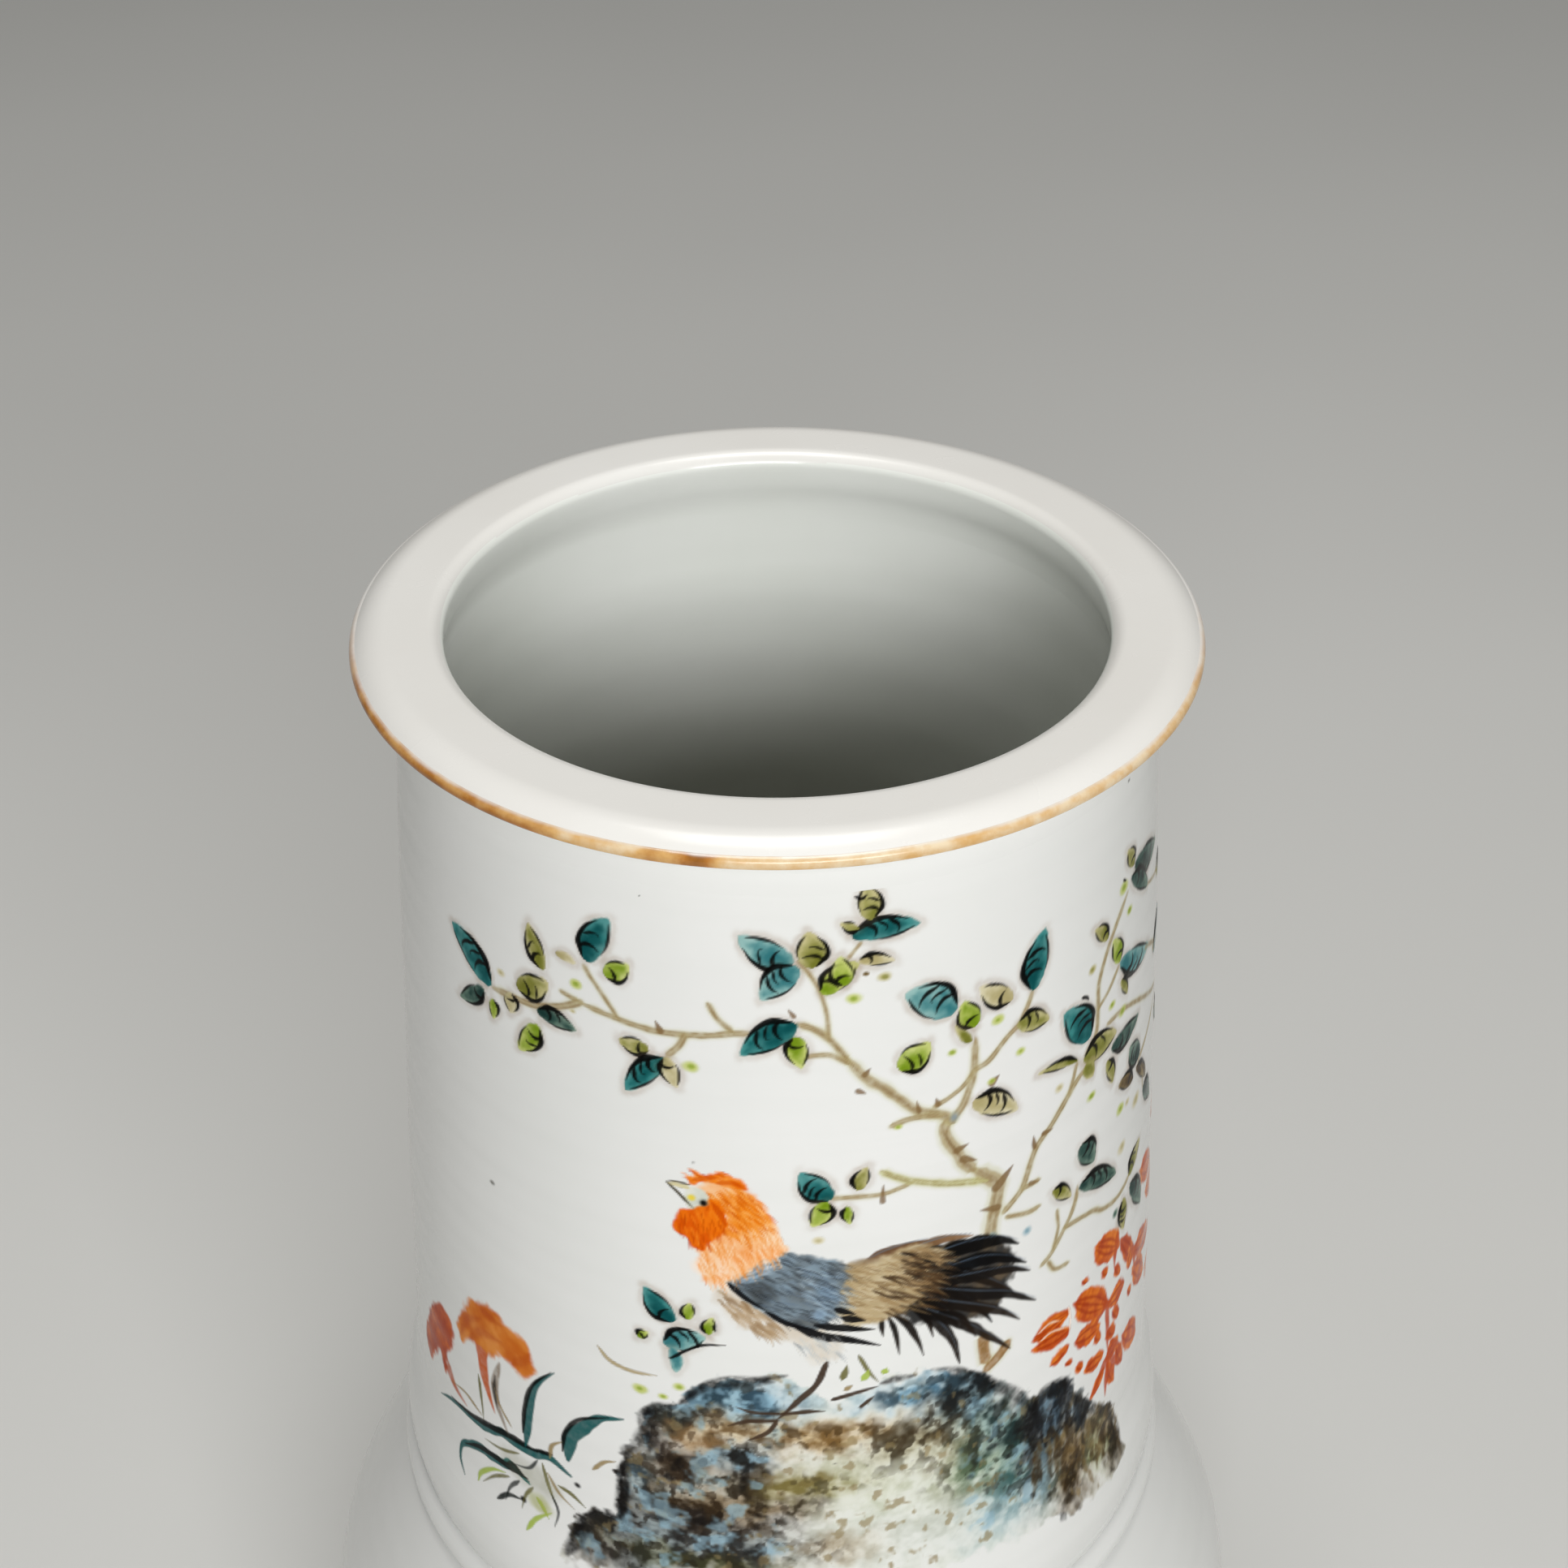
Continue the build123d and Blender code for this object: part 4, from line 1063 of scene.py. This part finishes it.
def ring(name, node, loop, turns, uneven=1.0, relief=None):
    """A closed ring turned from a closed outline, the outside first and from the bottom up.

    uneven scales the thrower's marks, for the whole outline or for each of its points.
    """
    r, z = np.array(loop, float).T
    r = np.repeat(r[:, None], len(turns), 1)
    z = np.repeat(z[:, None], len(turns), 1)
    a = np.repeat(np.array(turns)[None], len(loop), 0)
    r = r + unevenness(a, z) * np.reshape(uneven, (-1, 1))
    if relief is not None:
        r[: len(relief)] += relief
    points = np.stack([r * np.sin(a), -r * np.cos(a), z], -1).reshape(-1, 3) * MM
    rows, columns = len(loop), len(turns)
    j, i = np.meshgrid(np.arange(rows), np.arange(columns), indexing="ij")
    j2, i2 = (j + 1) % rows, (i + 1) % columns
    quads = np.stack([j * columns + i, j * columns + i2, j2 * columns + i2, j2 * columns + i], -1)
    piece = mesh_of(name, points.tolist(), quads.reshape(-1, 4).tolist())
    finish_piece(piece, node)
    return piece


def disc(name, node, outline, turns):
    """A closed disc turned from an outline that starts and ends on the axis."""
    inner = np.array(outline[1:-1], float)
    a = np.array(turns)
    points = [(0, 0, outline[0][1] * MM), (0, 0, outline[-1][1] * MM)]
    for r, z in inner:
        points += [(r * math.sin(t) * MM, -r * math.cos(t) * MM, z * MM) for t in a]
    n = len(a)
    faces = [(0, 2 + (i + 1) % n, 2 + i) for i in range(n)]
    last = 2 + (len(inner) - 1) * n
    faces += [(1, last + i, last + (i + 1) % n) for i in range(n)]
    for j in range(len(inner) - 1):
        low, high = 2 + j * n, 2 + (j + 1) * n
        faces += [(low + i, low + (i + 1) % n, high + (i + 1) % n, high + i) for i in range(n)]
    piece = mesh_of(name, points, faces)
    finish_piece(piece, node)
    return piece


def finish_piece(piece, node):
    """Smooth shading up to 40 degrees, and the piece's place in the frame."""
    piece.data.polygons.foreach_set("use_smooth", np.ones(len(piece.data.polygons), bool))
    piece.data.set_sharp_from_angle(angle=math.radians(40))
    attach(piece, "root")
    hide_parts(node)


def set_slots(piece, materials, choose):
    """Gives each face the material that choose picks from its centre's r and z, in mm."""
    for material in materials:
        piece.data.materials.append(material)
    centres = np.empty(len(piece.data.polygons) * 3)
    piece.data.polygons.foreach_get("center", centres)
    normals = np.empty(len(piece.data.polygons) * 3)
    piece.data.polygons.foreach_get("normal", normals)
    centres, normals = centres.reshape(-1, 3) / MM, normals.reshape(-1, 3)
    r = np.hypot(centres[:, 0], centres[:, 1])
    outward = (centres[:, 0] * normals[:, 0] + centres[:, 1] * normals[:, 1]) / np.maximum(r, 1e-6)
    piece.data.polygons.foreach_set("material_index",
        choose(r, centres[:, 2], outward).astype(np.int32))


def facing_in(limit):
    """A rule for set_slots: the second material where a face looks in at the axis."""
    return lambda r, z, outward: (outward < -limit).astype(int)


# Materials ------------------------------------------------------------------------------


class Nodes:
    """Short calls for building one node tree."""

    def __init__(self, name):
        self.material = bpy.data.materials.new(name)
        self.material.use_nodes = True
        self.tree = self.material.node_tree
        self.shader = self.tree.nodes["Principled BSDF"]

    def add(self, kind, **settings):
        node = self.tree.nodes.new(kind)
        for key, value in settings.items():
            setattr(node, key, value)
        return node

    def link(self, a, b):
        self.tree.links.new(a, b)

    def place(self, scale=(1, 1, 1)):
        coords = self.add("ShaderNodeTexCoord")
        mapping = self.add("ShaderNodeMapping")
        mapping.inputs["Scale"].default_value = scale
        self.link(coords.outputs["Object"], mapping.inputs["Vector"])
        return mapping.outputs["Vector"]

    def height(self):
        """The height above the table, in metres."""
        coords = self.add("ShaderNodeTexCoord")
        split = self.add("ShaderNodeSeparateXYZ")
        self.link(coords.outputs["Object"], split.inputs["Vector"])
        return split.outputs["Z"]

    def noise(self, per_metre, detail=3.0, rough=0.5, where=None):
        node = self.add("ShaderNodeTexNoise")
        node.inputs["Scale"].default_value = per_metre
        node.inputs["Detail"].default_value = detail
        node.inputs["Roughness"].default_value = rough
        self.link(where or self.place(), node.inputs["Vector"])
        return node.outputs["Fac"]

    def ramp(self, value, stops):
        node = self.add("ShaderNodeValToRGB")
        ramp = node.color_ramp
        while len(ramp.elements) < len(stops):
            ramp.elements.new(0.5)
        for element, (at, colour) in zip(ramp.elements, stops):
            element.position = at
            element.color = (*linear(colour), 1.0)
        self.link(value, node.inputs["Fac"])
        return node.outputs["Color"]

    def spread(self, value, low, high, to_low=0.0, to_high=1.0):
        node = self.add("ShaderNodeMapRange", interpolation_type="SMOOTHSTEP")
        for name, number in (("From Min", low), ("From Max", high), ("To Min", to_low),
            ("To Max", to_high)):
            node.inputs[name].default_value = number
        self.link(value, node.inputs["Value"])
        return node.outputs["Result"]

    def fill(self, socket, value):
        """Links a socket, or sets it to a number or to a colour given as 0 to 255."""
        if isinstance(value, bpy.types.NodeSocket):
            self.link(value, socket)
        elif isinstance(value, tuple):
            socket.default_value = (*linear(value), 1.0)
        else:
            socket.default_value = value

    def mix(self, share, a, b):
        node = self.add("ShaderNodeMix", data_type="RGBA")
        for k, value in ((0, share), (6, a), (7, b)):
            self.fill(node.inputs[k], value)
        return node.outputs[2]

    def maths(self, operation, a, b):
        node = self.add("ShaderNodeMath", operation=operation)
        self.fill(node.inputs[0], a)
        self.fill(node.inputs[1], b)
        return node.outputs[0]

    def bump(self, height, distance_mm, strength=1.0, under=None):
        node = self.add("ShaderNodeBump")
        node.inputs["Strength"].default_value = strength
        node.inputs["Distance"].default_value = distance_mm * MM
        self.link(height, node.inputs["Height"])
        if under is not None:
            self.link(under, node.inputs["Normal"])
        return node.outputs["Normal"]


# The glaze: gloss from its clearest to its dullest, iron specks, orange peel and slow waves.
GLOSSY = (0.06, 0.16)
SATIN = (0.2, 0.3)
GLAZE_IOR = 1.42
SPECKS_PER_METRE = 62.0
SPECK_COLOUR = (92, 72, 54)
PEEL_PER_METRE, PEEL_MM = 420.0, 0.02
WAVES_PER_METRE, WAVES_MM = 95.0, 0.05


def glaze_surface(n, base, rough=GLOSSY):
    """The glaze's specks, uneven gloss and orange peel, over a base colour."""
    specks = n.add("ShaderNodeTexVoronoi", feature="F1")
    specks.inputs["Scale"].default_value = SPECKS_PER_METRE
    n.link(n.place(), specks.inputs["Vector"])
    rare = n.spread(n.noise(45.0, 1.0), 0.60, 0.64)
    dots = n.maths("MULTIPLY", n.spread(specks.outputs["Distance"], 0.030, 0.016), rare)
    colour = n.mix(n.maths("MULTIPLY", dots, 0.75), base, SPECK_COLOUR)
    n.link(colour, n.shader.inputs["Base Color"])
    n.link(n.spread(n.noise(70.0, 4.0, 0.6), 0.3, 0.75, *rough), n.shader.inputs["Roughness"])
    peel = n.bump(n.noise(PEEL_PER_METRE, 2.0), PEEL_MM, 0.5)
    waves = n.bump(n.noise(WAVES_PER_METRE, 3.0), WAVES_MM, 0.35, peel)
    n.link(waves, n.shader.inputs["Normal"])
    n.shader.inputs["IOR"].default_value = GLAZE_IOR


def porcelain(name, light, dark, paint_on=False, rough=GLOSSY, deep=None):
    """Pale porcelain glaze, cloudy at the scale of centimetres.

    paint_on lays the enamels over it, and deep is the painted shade it takes down in the bore,
    darker towards the bottom.
    """
    n = Nodes(name)
    clouds = n.ramp(n.noise(18.0, 4.0, 0.55), ((0.32, dark), (0.68, light)))
    streaks = n.noise(30.0, 3.0, 0.5, where=n.place((0.4, 0.4, 9.0)))
    base = n.mix(n.spread(streaks, 0.45, 0.8, 0.0, 0.35), clouds, dark)
    if deep:
        # Painted shade: the base turns to the deep colour towards the bottom of the bore.
        base = n.mix(n.spread(n.height(), SHADE_FULL_BELOW * MM, SHADE_ENDS_ABOVE * MM), deep, base)
    if paint_on:
        enamel = n.add("ShaderNodeAttribute", attribute_name="enamel")
        base = n.mix(enamel.outputs["Alpha"], base, enamel.outputs["Color"])
        n.link(n.spread(enamel.outputs["Alpha"], 0.0, 1.0, 0.36, 0.03),
            n.shader.inputs["Specular IOR Level"])
    glaze_surface(n, base, rough)
    return n.material


# The dressing, from thin and pale to burnt, and the lip where there is none.
BURN_COLOURS = (
    (0.05, (232, 214, 182)),
    (0.3, (214, 170, 108)),
    (0.55, (176, 116, 50)),
    (0.9, (96, 54, 20)),
)
BARE_LIP = (231, 229, 225)


def dressing():
    """Iron-brown lip glaze; how burnt it is comes with the mesh."""
    n = Nodes("iron_brown_glaze")
    burn = n.add("ShaderNodeAttribute", attribute_name="burn")
    amount = n.maths("ADD", burn.outputs["Fac"],
        n.spread(n.noise(260.0, 4.0, 0.6), 0.3, 0.7, -0.10, 0.10))
    colour = n.ramp(amount, BURN_COLOURS)
    colour = n.mix(burn.outputs["Alpha"], BARE_LIP, colour)
    glaze_surface(n, colour, (0.10, 0.24))
    return n.material


def bare_foot(glaze):
    """The foot ring: glaze that stops short of the bare bearing edge."""
    n = Nodes("porcelain_foot")
    ragged = n.maths("ADD", n.height(), n.spread(n.noise(60.0, 3.0), 0.2, 0.8, -0.0008, 0.0008))
    glazed = n.spread(ragged, 0.0026, 0.0032)
    burnt = n.spread(ragged, 0.0014, 0.0030)
    bare = n.mix(burnt, (206, 194, 176), (196, 148, 104))
    grains = n.noise(900.0, 2.0)
    bare = n.mix(n.spread(grains, 0.35, 0.75, 0.0, 0.35), bare, (160, 140, 120))
    n.link(n.mix(glazed, bare, glaze), n.shader.inputs["Base Color"])
    n.link(n.spread(glazed, 0.0, 1.0, 0.72, 0.12), n.shader.inputs["Roughness"])
    n.link(n.bump(grains, 0.06, 0.6), n.shader.inputs["Normal"])
    return n.material


WHITE = (235, 235, 233)
WHITE_SHADE = (229, 230, 227)
# Painted shade: the bore's glaze greys towards the bottom, deeper in the pot.
SHADE_FULL_BELOW = HEIGHT - 95.0
SHADE_ENDS_ABOVE = HEIGHT - 25.0
BORE_WHITE, BORE_SHADE, BORE_PAINTED_SHADE = (242, 244, 239), (235, 238, 231), (160, 161, 150)

OUTSIDE = porcelain("porcelain_wall", WHITE, WHITE_SHADE, paint_on=True)
PLAIN = porcelain("porcelain_body", WHITE, WHITE_SHADE)
FLANGE = porcelain("porcelain_mouth", (234, 233, 229), (229, 227, 222), rough=SATIN)
INSIDE = porcelain("porcelain_inside", BORE_WHITE, BORE_SHADE, deep=BORE_PAINTED_SHADE)


def add_colours(piece, name, values):
    """Stores four numbers for each of the mesh's points."""
    layer = piece.data.color_attributes.new(name, "FLOAT_COLOR", "POINT")
    layer.data.foreach_set("color", np.asarray(values, float).reshape(-1))


# The pot's sections ---------------------------------------------------------------------

ROUND = 384
around = np.linspace(0, math.tau, ROUND, endpoint=False)


def make_flange():
    """The everted mouth: rounded into the bore, falling to the lip, coved into the wall."""
    mouth_centre = (MOUTH + MOUTH_ROUND, HEIGHT - MOUTH_ROUND)
    diagonal = MOUTH_ROUND * math.sqrt(0.5)
    cove_foot = (WALL_TOP, FLANGE_COVE_FOOT)
    undercut = tangent_arc((MOUTH, mouth_centre[1]), UNDERCUT_MID, (0, -1), 10)
    heading = np.array(undercut[-1]) - np.array(undercut[-2])
    loop = joined(
        line((WALL_TOP, FLANGE_JOINT), cove_foot, 3),
        arc(cove_foot, FLANGE_COVE, FLANGE_ROOT, 14),
        line(FLANGE_ROOT, (DRESSING_INNER, LIP_BOTTOM), 2),
        line((DRESSING_INNER, LIP_BOTTOM), (DRESSING_INNER, LIP_TOP)),
        tangent_arc((FLANGE_FLAT_END, HEIGHT), (DRESSING_INNER, LIP_TOP), (1, 0), 14)[::-1],
        line((FLANGE_FLAT_END, HEIGHT), (mouth_centre[0], HEIGHT), 6),
        arc(
            (mouth_centre[0], HEIGHT),
            (mouth_centre[0] - diagonal, mouth_centre[1] + diagonal),
            (MOUTH, mouth_centre[1]),
            16,
        ),
        undercut,
        tangent_arc(UNDERCUT_MID, (BORE_TOP, FLANGE_JOINT), heading, 10),
    )
    piece = ring("mouth_flange_glazed", "mouth_flange", loop, around)

    def surface(r, z, outward):
        """The mouth's satin glaze on top, then the bore's and the wall's."""
        on_top = (z > LIP_TOP - 0.6) & (r > MOUTH + 0.3)
        return np.where(on_top, 1, 2 * (outward < -0.2))

    set_slots(piece, (PLAIN, FLANGE, INSIDE), surface)


# The lip's dressing, in degrees round from the front: where it ends and how slowly, and its
# burnt spots with their widths and strengths.
DRESSING_END, DRESSING_FADE = 100, 34
BURNT_SPOTS = ((-9.5, 2.4, 1.0), (-15, 3.5, 0.35))


def make_dressing():
    """The brown band round the lip, burnt in patches."""
    loop = joined(
        arc(
            (DRESSING_INNER, LIP_BOTTOM),
            (RIM, (LIP_TOP + LIP_BOTTOM) / 2),
            (DRESSING_INNER, LIP_TOP),
            14,
        ),
        line((DRESSING_INNER, LIP_TOP), (DRESSING_INNER, LIP_BOTTOM), 2)[:-1],
    )
    turns = np.linspace(0, math.tau, ROUND * 4, endpoint=False)
    piece = ring("lip_dressing_glazed", "lip_dressing", loop, turns)
    z = np.repeat(np.array(loop)[:, 1][:, None], len(turns), 1)
    a = np.degrees((np.repeat(turns[None], len(loop), 0) + math.pi) % math.tau - math.pi)
    left = step((-18 - a) / 26) * step((a + 150) / 60)
    right = step((a - 30) / 50) * 0.12
    burnt = sum(share * np.exp(-(((a - at) / wide) ** 2)) for at, wide, share in BURNT_SPOTS)
    burn = 0.14 + 0.34 * left + right + 0.6 * burnt + 0.2 * (layered(a * 1.1, z * 3, 4.0, 3) - 0.5)
    burn = burn + 0.2 * step((LIP_TOP - 0.3 - z) / 1.4) * (0.3 + left)
    glazed = step((LIP_TOP + 0.2 - z + 0.3 * (layered(a * 1.1, z, 3.0, 8) - 0.5)) / 0.5)
    glazed = glazed * step((DRESSING_END - np.abs(a)) / DRESSING_FADE)
    amounts = np.stack([np.clip(burn, 0, 1)] * 3 + [np.clip(glazed, 0, 1)], -1)
    add_colours(piece, "burn", amounts)
    piece.data.materials.append(dressing())


def painted_turns():
    """Angles round the wall: close together across the painted field, wider behind it."""
    front = np.arange(PAINT_LEFT, PAINT_RIGHT + PAINT_STEP / 2, PAINT_STEP)
    whole = math.tau * PAINT_RADIUS
    count = int((whole - (front[-1] - front[0])) / BACK_STEP)
    back = np.linspace(front[-1], front[0] + whole, count + 1)[1:-1]
    return np.concatenate([front, back]), len(front)


def make_painted_wall():
    """The cylinder and the string-ring collar, with the enamels laid across both."""
    s, front = painted_turns()
    turns = s / PAINT_RADIUS
    collar_h = np.linspace(BEAD_TOP, COLLAR_TOP, int((COLLAR_TOP - BEAD_TOP) / PAINT_STEP) + 1)
    rise = FLANGE_JOINT - COLLAR_TOP
    wall_h = np.linspace(COLLAR_TOP, FLANGE_JOINT, int(rise / PAINT_STEP) + 1)
    canvas = Canvas(s[:front], np.concatenate([collar_h, wall_h[1:]]))
    paint(canvas)
    rows = {"ring_collar": slice(0, len(collar_h)), "body_cylinder": slice(len(collar_h) - 1, None)}
    wall_inner = arc((BORE_TOP, FLANGE_JOINT), (BORE_MID, WALL_MID_Z), (BORE_FOOT, COLLAR_TOP), 60)
    collar_inner = line((BORE_FOOT, COLLAR_TOP), (RING_BORE, BEAD_TOP), 12)
    outlines = {
        "ring_collar": (list(zip(collar_radius(collar_h), collar_h)), collar_inner),
        "body_cylinder": (list(zip(wall_radius(wall_h), wall_h)), wall_inner),
    }
    for node, (outer, inner) in outlines.items():
        part = rows[node]
        loop = outer + inner
        relief = np.zeros((len(outer), len(s)))
        relief[:, :front] = canvas.relief[part]
        piece = ring(node + "_glazed", node, loop, turns, relief=relief)
        enamel = np.zeros((len(loop), len(s), 4))
        enamel[: len(outer), :front, :3] = linear(canvas.colour[part] * 255)
        enamel[: len(outer), :front, 3] = 1 - (1 - np.clip(canvas.cover[part], 0, 1)) ** 2
        add_colours(piece, "enamel", enamel)
        set_slots(piece, (OUTSIDE, INSIDE), facing_in(0.5))


def make_bead():
    """The thin second bead between the two turned grooves."""
    loop = joined(
        arc((BEAD_FOOT, SHOULDER_TOP), (BEAD, BEAD_MIDDLE), (GROOVE, BEAD_TOP), 16),
        line((GROOVE, BEAD_TOP), (RING_BORE, BEAD_TOP), 2),
        line((RING_BORE, BEAD_TOP), (RING_BORE, SHOULDER_TOP), 3),
    )
    piece = ring("string_bead_glazed", "string_bead", loop, around)
    set_slots(piece, (PLAIN, INSIDE), facing_in(0.5))


def make_shoulder():
    """The convex top of the drum base."""
    centre = on_arc(BELLY_ARC - SHOULDER_ARC, BELLY_ARC_UP)
    end_turn = math.asin((SHOULDER_TOP - centre[1]) / SHOULDER_ARC)
    slope = [
        (centre[0] + SHOULDER_ARC * math.cos(t), centre[1] + SHOULDER_ARC * math.sin(t))
        for t in np.linspace(math.radians(BELLY_ARC_UP), end_turn, 30)
    ]
    belly = [on_arc(BELLY_ARC, d) for d in np.linspace(0, BELLY_ARC_UP, 18)]
    inner_end = on_arc(inner_arc, BELLY_ARC_UP)
    inner_belly = [on_arc(inner_arc, d) for d in np.linspace(BELLY_ARC_UP, 0, 12)]
    loop = joined(
        belly,
        slope,
        line(slope[-1], (RING_BORE, SHOULDER_TOP), 2),
        line((RING_BORE, SHOULDER_TOP), inner_end, 10),
        inner_belly,
    )
    piece = ring("shoulder_glazed", "shoulder", loop, around)
    set_slots(piece, (PLAIN, INSIDE), facing_in(0.2))


def make_lower_belly():
    """The lower half of the drum base, drawn in over the foot."""
    belly = [on_arc(BELLY_ARC, d) for d in np.linspace(-BELLY_ARC_DOWN, 0, 26)]
    loop = joined(
        line((FLOOR, BELLY_FOOT), (FOOT, BELLY_FOOT), 2),
        line((FOOT, BELLY_FOOT), belly[0], 3),
        belly,
        line(belly[-1], on_arc(inner_arc, 0), 2),
        arc(
            on_arc(inner_arc, 0),
            on_arc(inner_arc + LOWER_WALL_THINNING, -BELLY_ARC_DOWN / 2),
            (FLOOR, FLOOR_TOP),
            20,
        ),
    )
    above_foot = [float(z > BELLY_FOOT + 0.1) for _, z in loop]
    piece = ring("lower_belly_glazed", "lower_belly", loop, around, above_foot)
    set_slots(piece, (PLAIN, INSIDE), facing_in(0.2))


def make_floor_disc():
    """The floor: a faint spiral left by the thrower's finger inside."""
    outline = [(0.0, FLOOR_TOP)]
    for r in np.linspace(1.0, FLOOR, 60):
        fade = step((FLOOR - r) / 6)
        outline.append((r, FLOOR_TOP + float(fade) * 0.22 * (math.sin(r / 1.7) - 1)))
    outline += [(FLOOR, BELLY_FOOT), (0.0, BELLY_FOOT)]
    piece = disc("floor_disc_glazed", "floor_disc", outline[::-1], around)
    set_slots(piece, (PLAIN, INSIDE), lambda r, z, out: (z > FLOOR_TOP - 1.0).astype(int))


def make_foot_ring():
    """The turned foot, rounded at its bearing edges."""
    middle = FOOT_ROUND * (1 - math.sqrt(0.5))
    loop = joined(
        arc((FOOT - FOOT_ROUND, 0), (FOOT - middle, middle), (FOOT, FOOT_ROUND), 6),
        line((FOOT, FOOT_ROUND), (FOOT, BELLY_FOOT), 12),
        line((FOOT, BELLY_FOOT), (FOOT_INNER, BELLY_FOOT), 2),
        line((FOOT_INNER, BELLY_FOOT), (FOOT_INNER, FOOT_ROUND), 12),
        arc(
            (FOOT_INNER, FOOT_ROUND),
            (FOOT_INNER + middle, middle),
            (FOOT_INNER + FOOT_ROUND, 0),
            6,
        ),
        line((FOOT_INNER + FOOT_ROUND, 0), (FOOT - FOOT_ROUND, 0), 3)[:-1],
    )
    piece = ring("foot_ring_bare", "foot_ring", loop, around, uneven=0.0)
    piece.data.materials.append(bare_foot(WHITE))


# Camera, light and floor ----------------------------------------------------------------

# The camera, in mm and degrees: its distance from the middle of the mouth, how high it
# stands over it, how far it looks down, and a slight roll and offset.
SENSOR_WIDTH = 36.0
FOCAL_LENGTH = 68.94
CAMERA_DISTANCE = 450.4
CAMERA_RISE = 29.88
CAMERA_DOWN = 33.25
CAMERA_ROLL = -0.276
CAMERA_ASIDE = 0.985

# Two soft lamps: place and aim in metres, size in metres, watts and colour.
KEY_LAMP = ((0.24, -1.40, 0.78), (0, 0, 0.2), (1.0, 0.5), 17.5, (1, 1, 1))
TOP_LAMP = ((0.0, 0.05, 1.5), (0, 0, 0.24), (0.6, 0.6), 9.8, (1.0, 0.985, 0.965))
ROOM_COLOUR = (0.94, 0.94, 0.9, 1)
ROOM_STRENGTH = 0.12
FLOOR_HALF = 12.0
PAPER = ((0.3, (214, 214, 211)), (0.7, (219, 219, 216)))


def make_camera():
    """Above the front of the mouth, looking down at it, with the base running out of view."""
    data = bpy.data.cameras.new("camera")
    camera = bpy.data.objects.new("camera", data)
    bpy.context.scene.collection.objects.link(camera)
    data.sensor_width = SENSOR_WIDTH
    data.lens = FOCAL_LENGTH
    rise = math.radians(CAMERA_RISE)
    place = (
        CAMERA_ASIDE * MM,
        -CAMERA_DISTANCE * MM * math.cos(rise),
        HEIGHT * MM + CAMERA_DISTANCE * MM * math.sin(rise),
    )
    tilt = Matrix.Rotation(math.pi / 2 - math.radians(CAMERA_DOWN), 4, "X")
    roll = Matrix.Rotation(math.radians(CAMERA_ROLL), 4, "Z")
    camera.matrix_world = Matrix.Translation(place) @ tilt @ roll
    bpy.context.scene.camera = camera


def area_light(name, place, aim, size, watts, colour):
    """A rectangular lamp at place that shines at aim."""
    data = bpy.data.lights.new(name, "AREA")
    data.shape = "RECTANGLE"
    data.size, data.size_y = size
    data.energy = watts
    data.color = colour
    lamp = bpy.data.objects.new(name, data)
    bpy.context.scene.collection.objects.link(lamp)
    away = Matrix.Translation(place).translation - Matrix.Translation(aim).translation
    turn = away.to_track_quat("Z", "Y").to_matrix().to_4x4()
    lamp.matrix_world = Matrix.Translation(place) @ turn


def studio_paper():
    """Matt pale paper."""
    n = Nodes("studio_paper")
    n.link(n.ramp(n.noise(3.0, 2.0), PAPER), n.shader.inputs["Base Color"])
    n.shader.inputs["Roughness"].default_value = 0.9
    return n.material


def make_studio():
    """A pale floor under two soft lamps in a dim room."""
    corners = [(FLOOR_HALF * x, FLOOR_HALF * y, 0) for x, y in ((-1, -1), (1, -1), (1, 1), (-1, 1))]
    floor = mesh_of("studio_floor", corners, [(0, 1, 2, 3)])
    floor.data.materials.append(studio_paper())
    world = bpy.data.worlds.new("studio")
    world.use_nodes = True
    room = world.node_tree.nodes["Background"]
    room.inputs["Color"].default_value = ROOM_COLOUR
    room.inputs["Strength"].default_value = ROOM_STRENGTH
    bpy.context.scene.world = world
    area_light("key", *KEY_LAMP)
    area_light("top", *TOP_LAMP)
    bpy.context.scene.view_settings.view_transform = "Standard"


make_camera()
make_flange()
make_dressing()
make_painted_wall()
make_bead()
make_shoulder()
make_lower_belly()
make_floor_disc()
make_foot_ring()
make_studio()
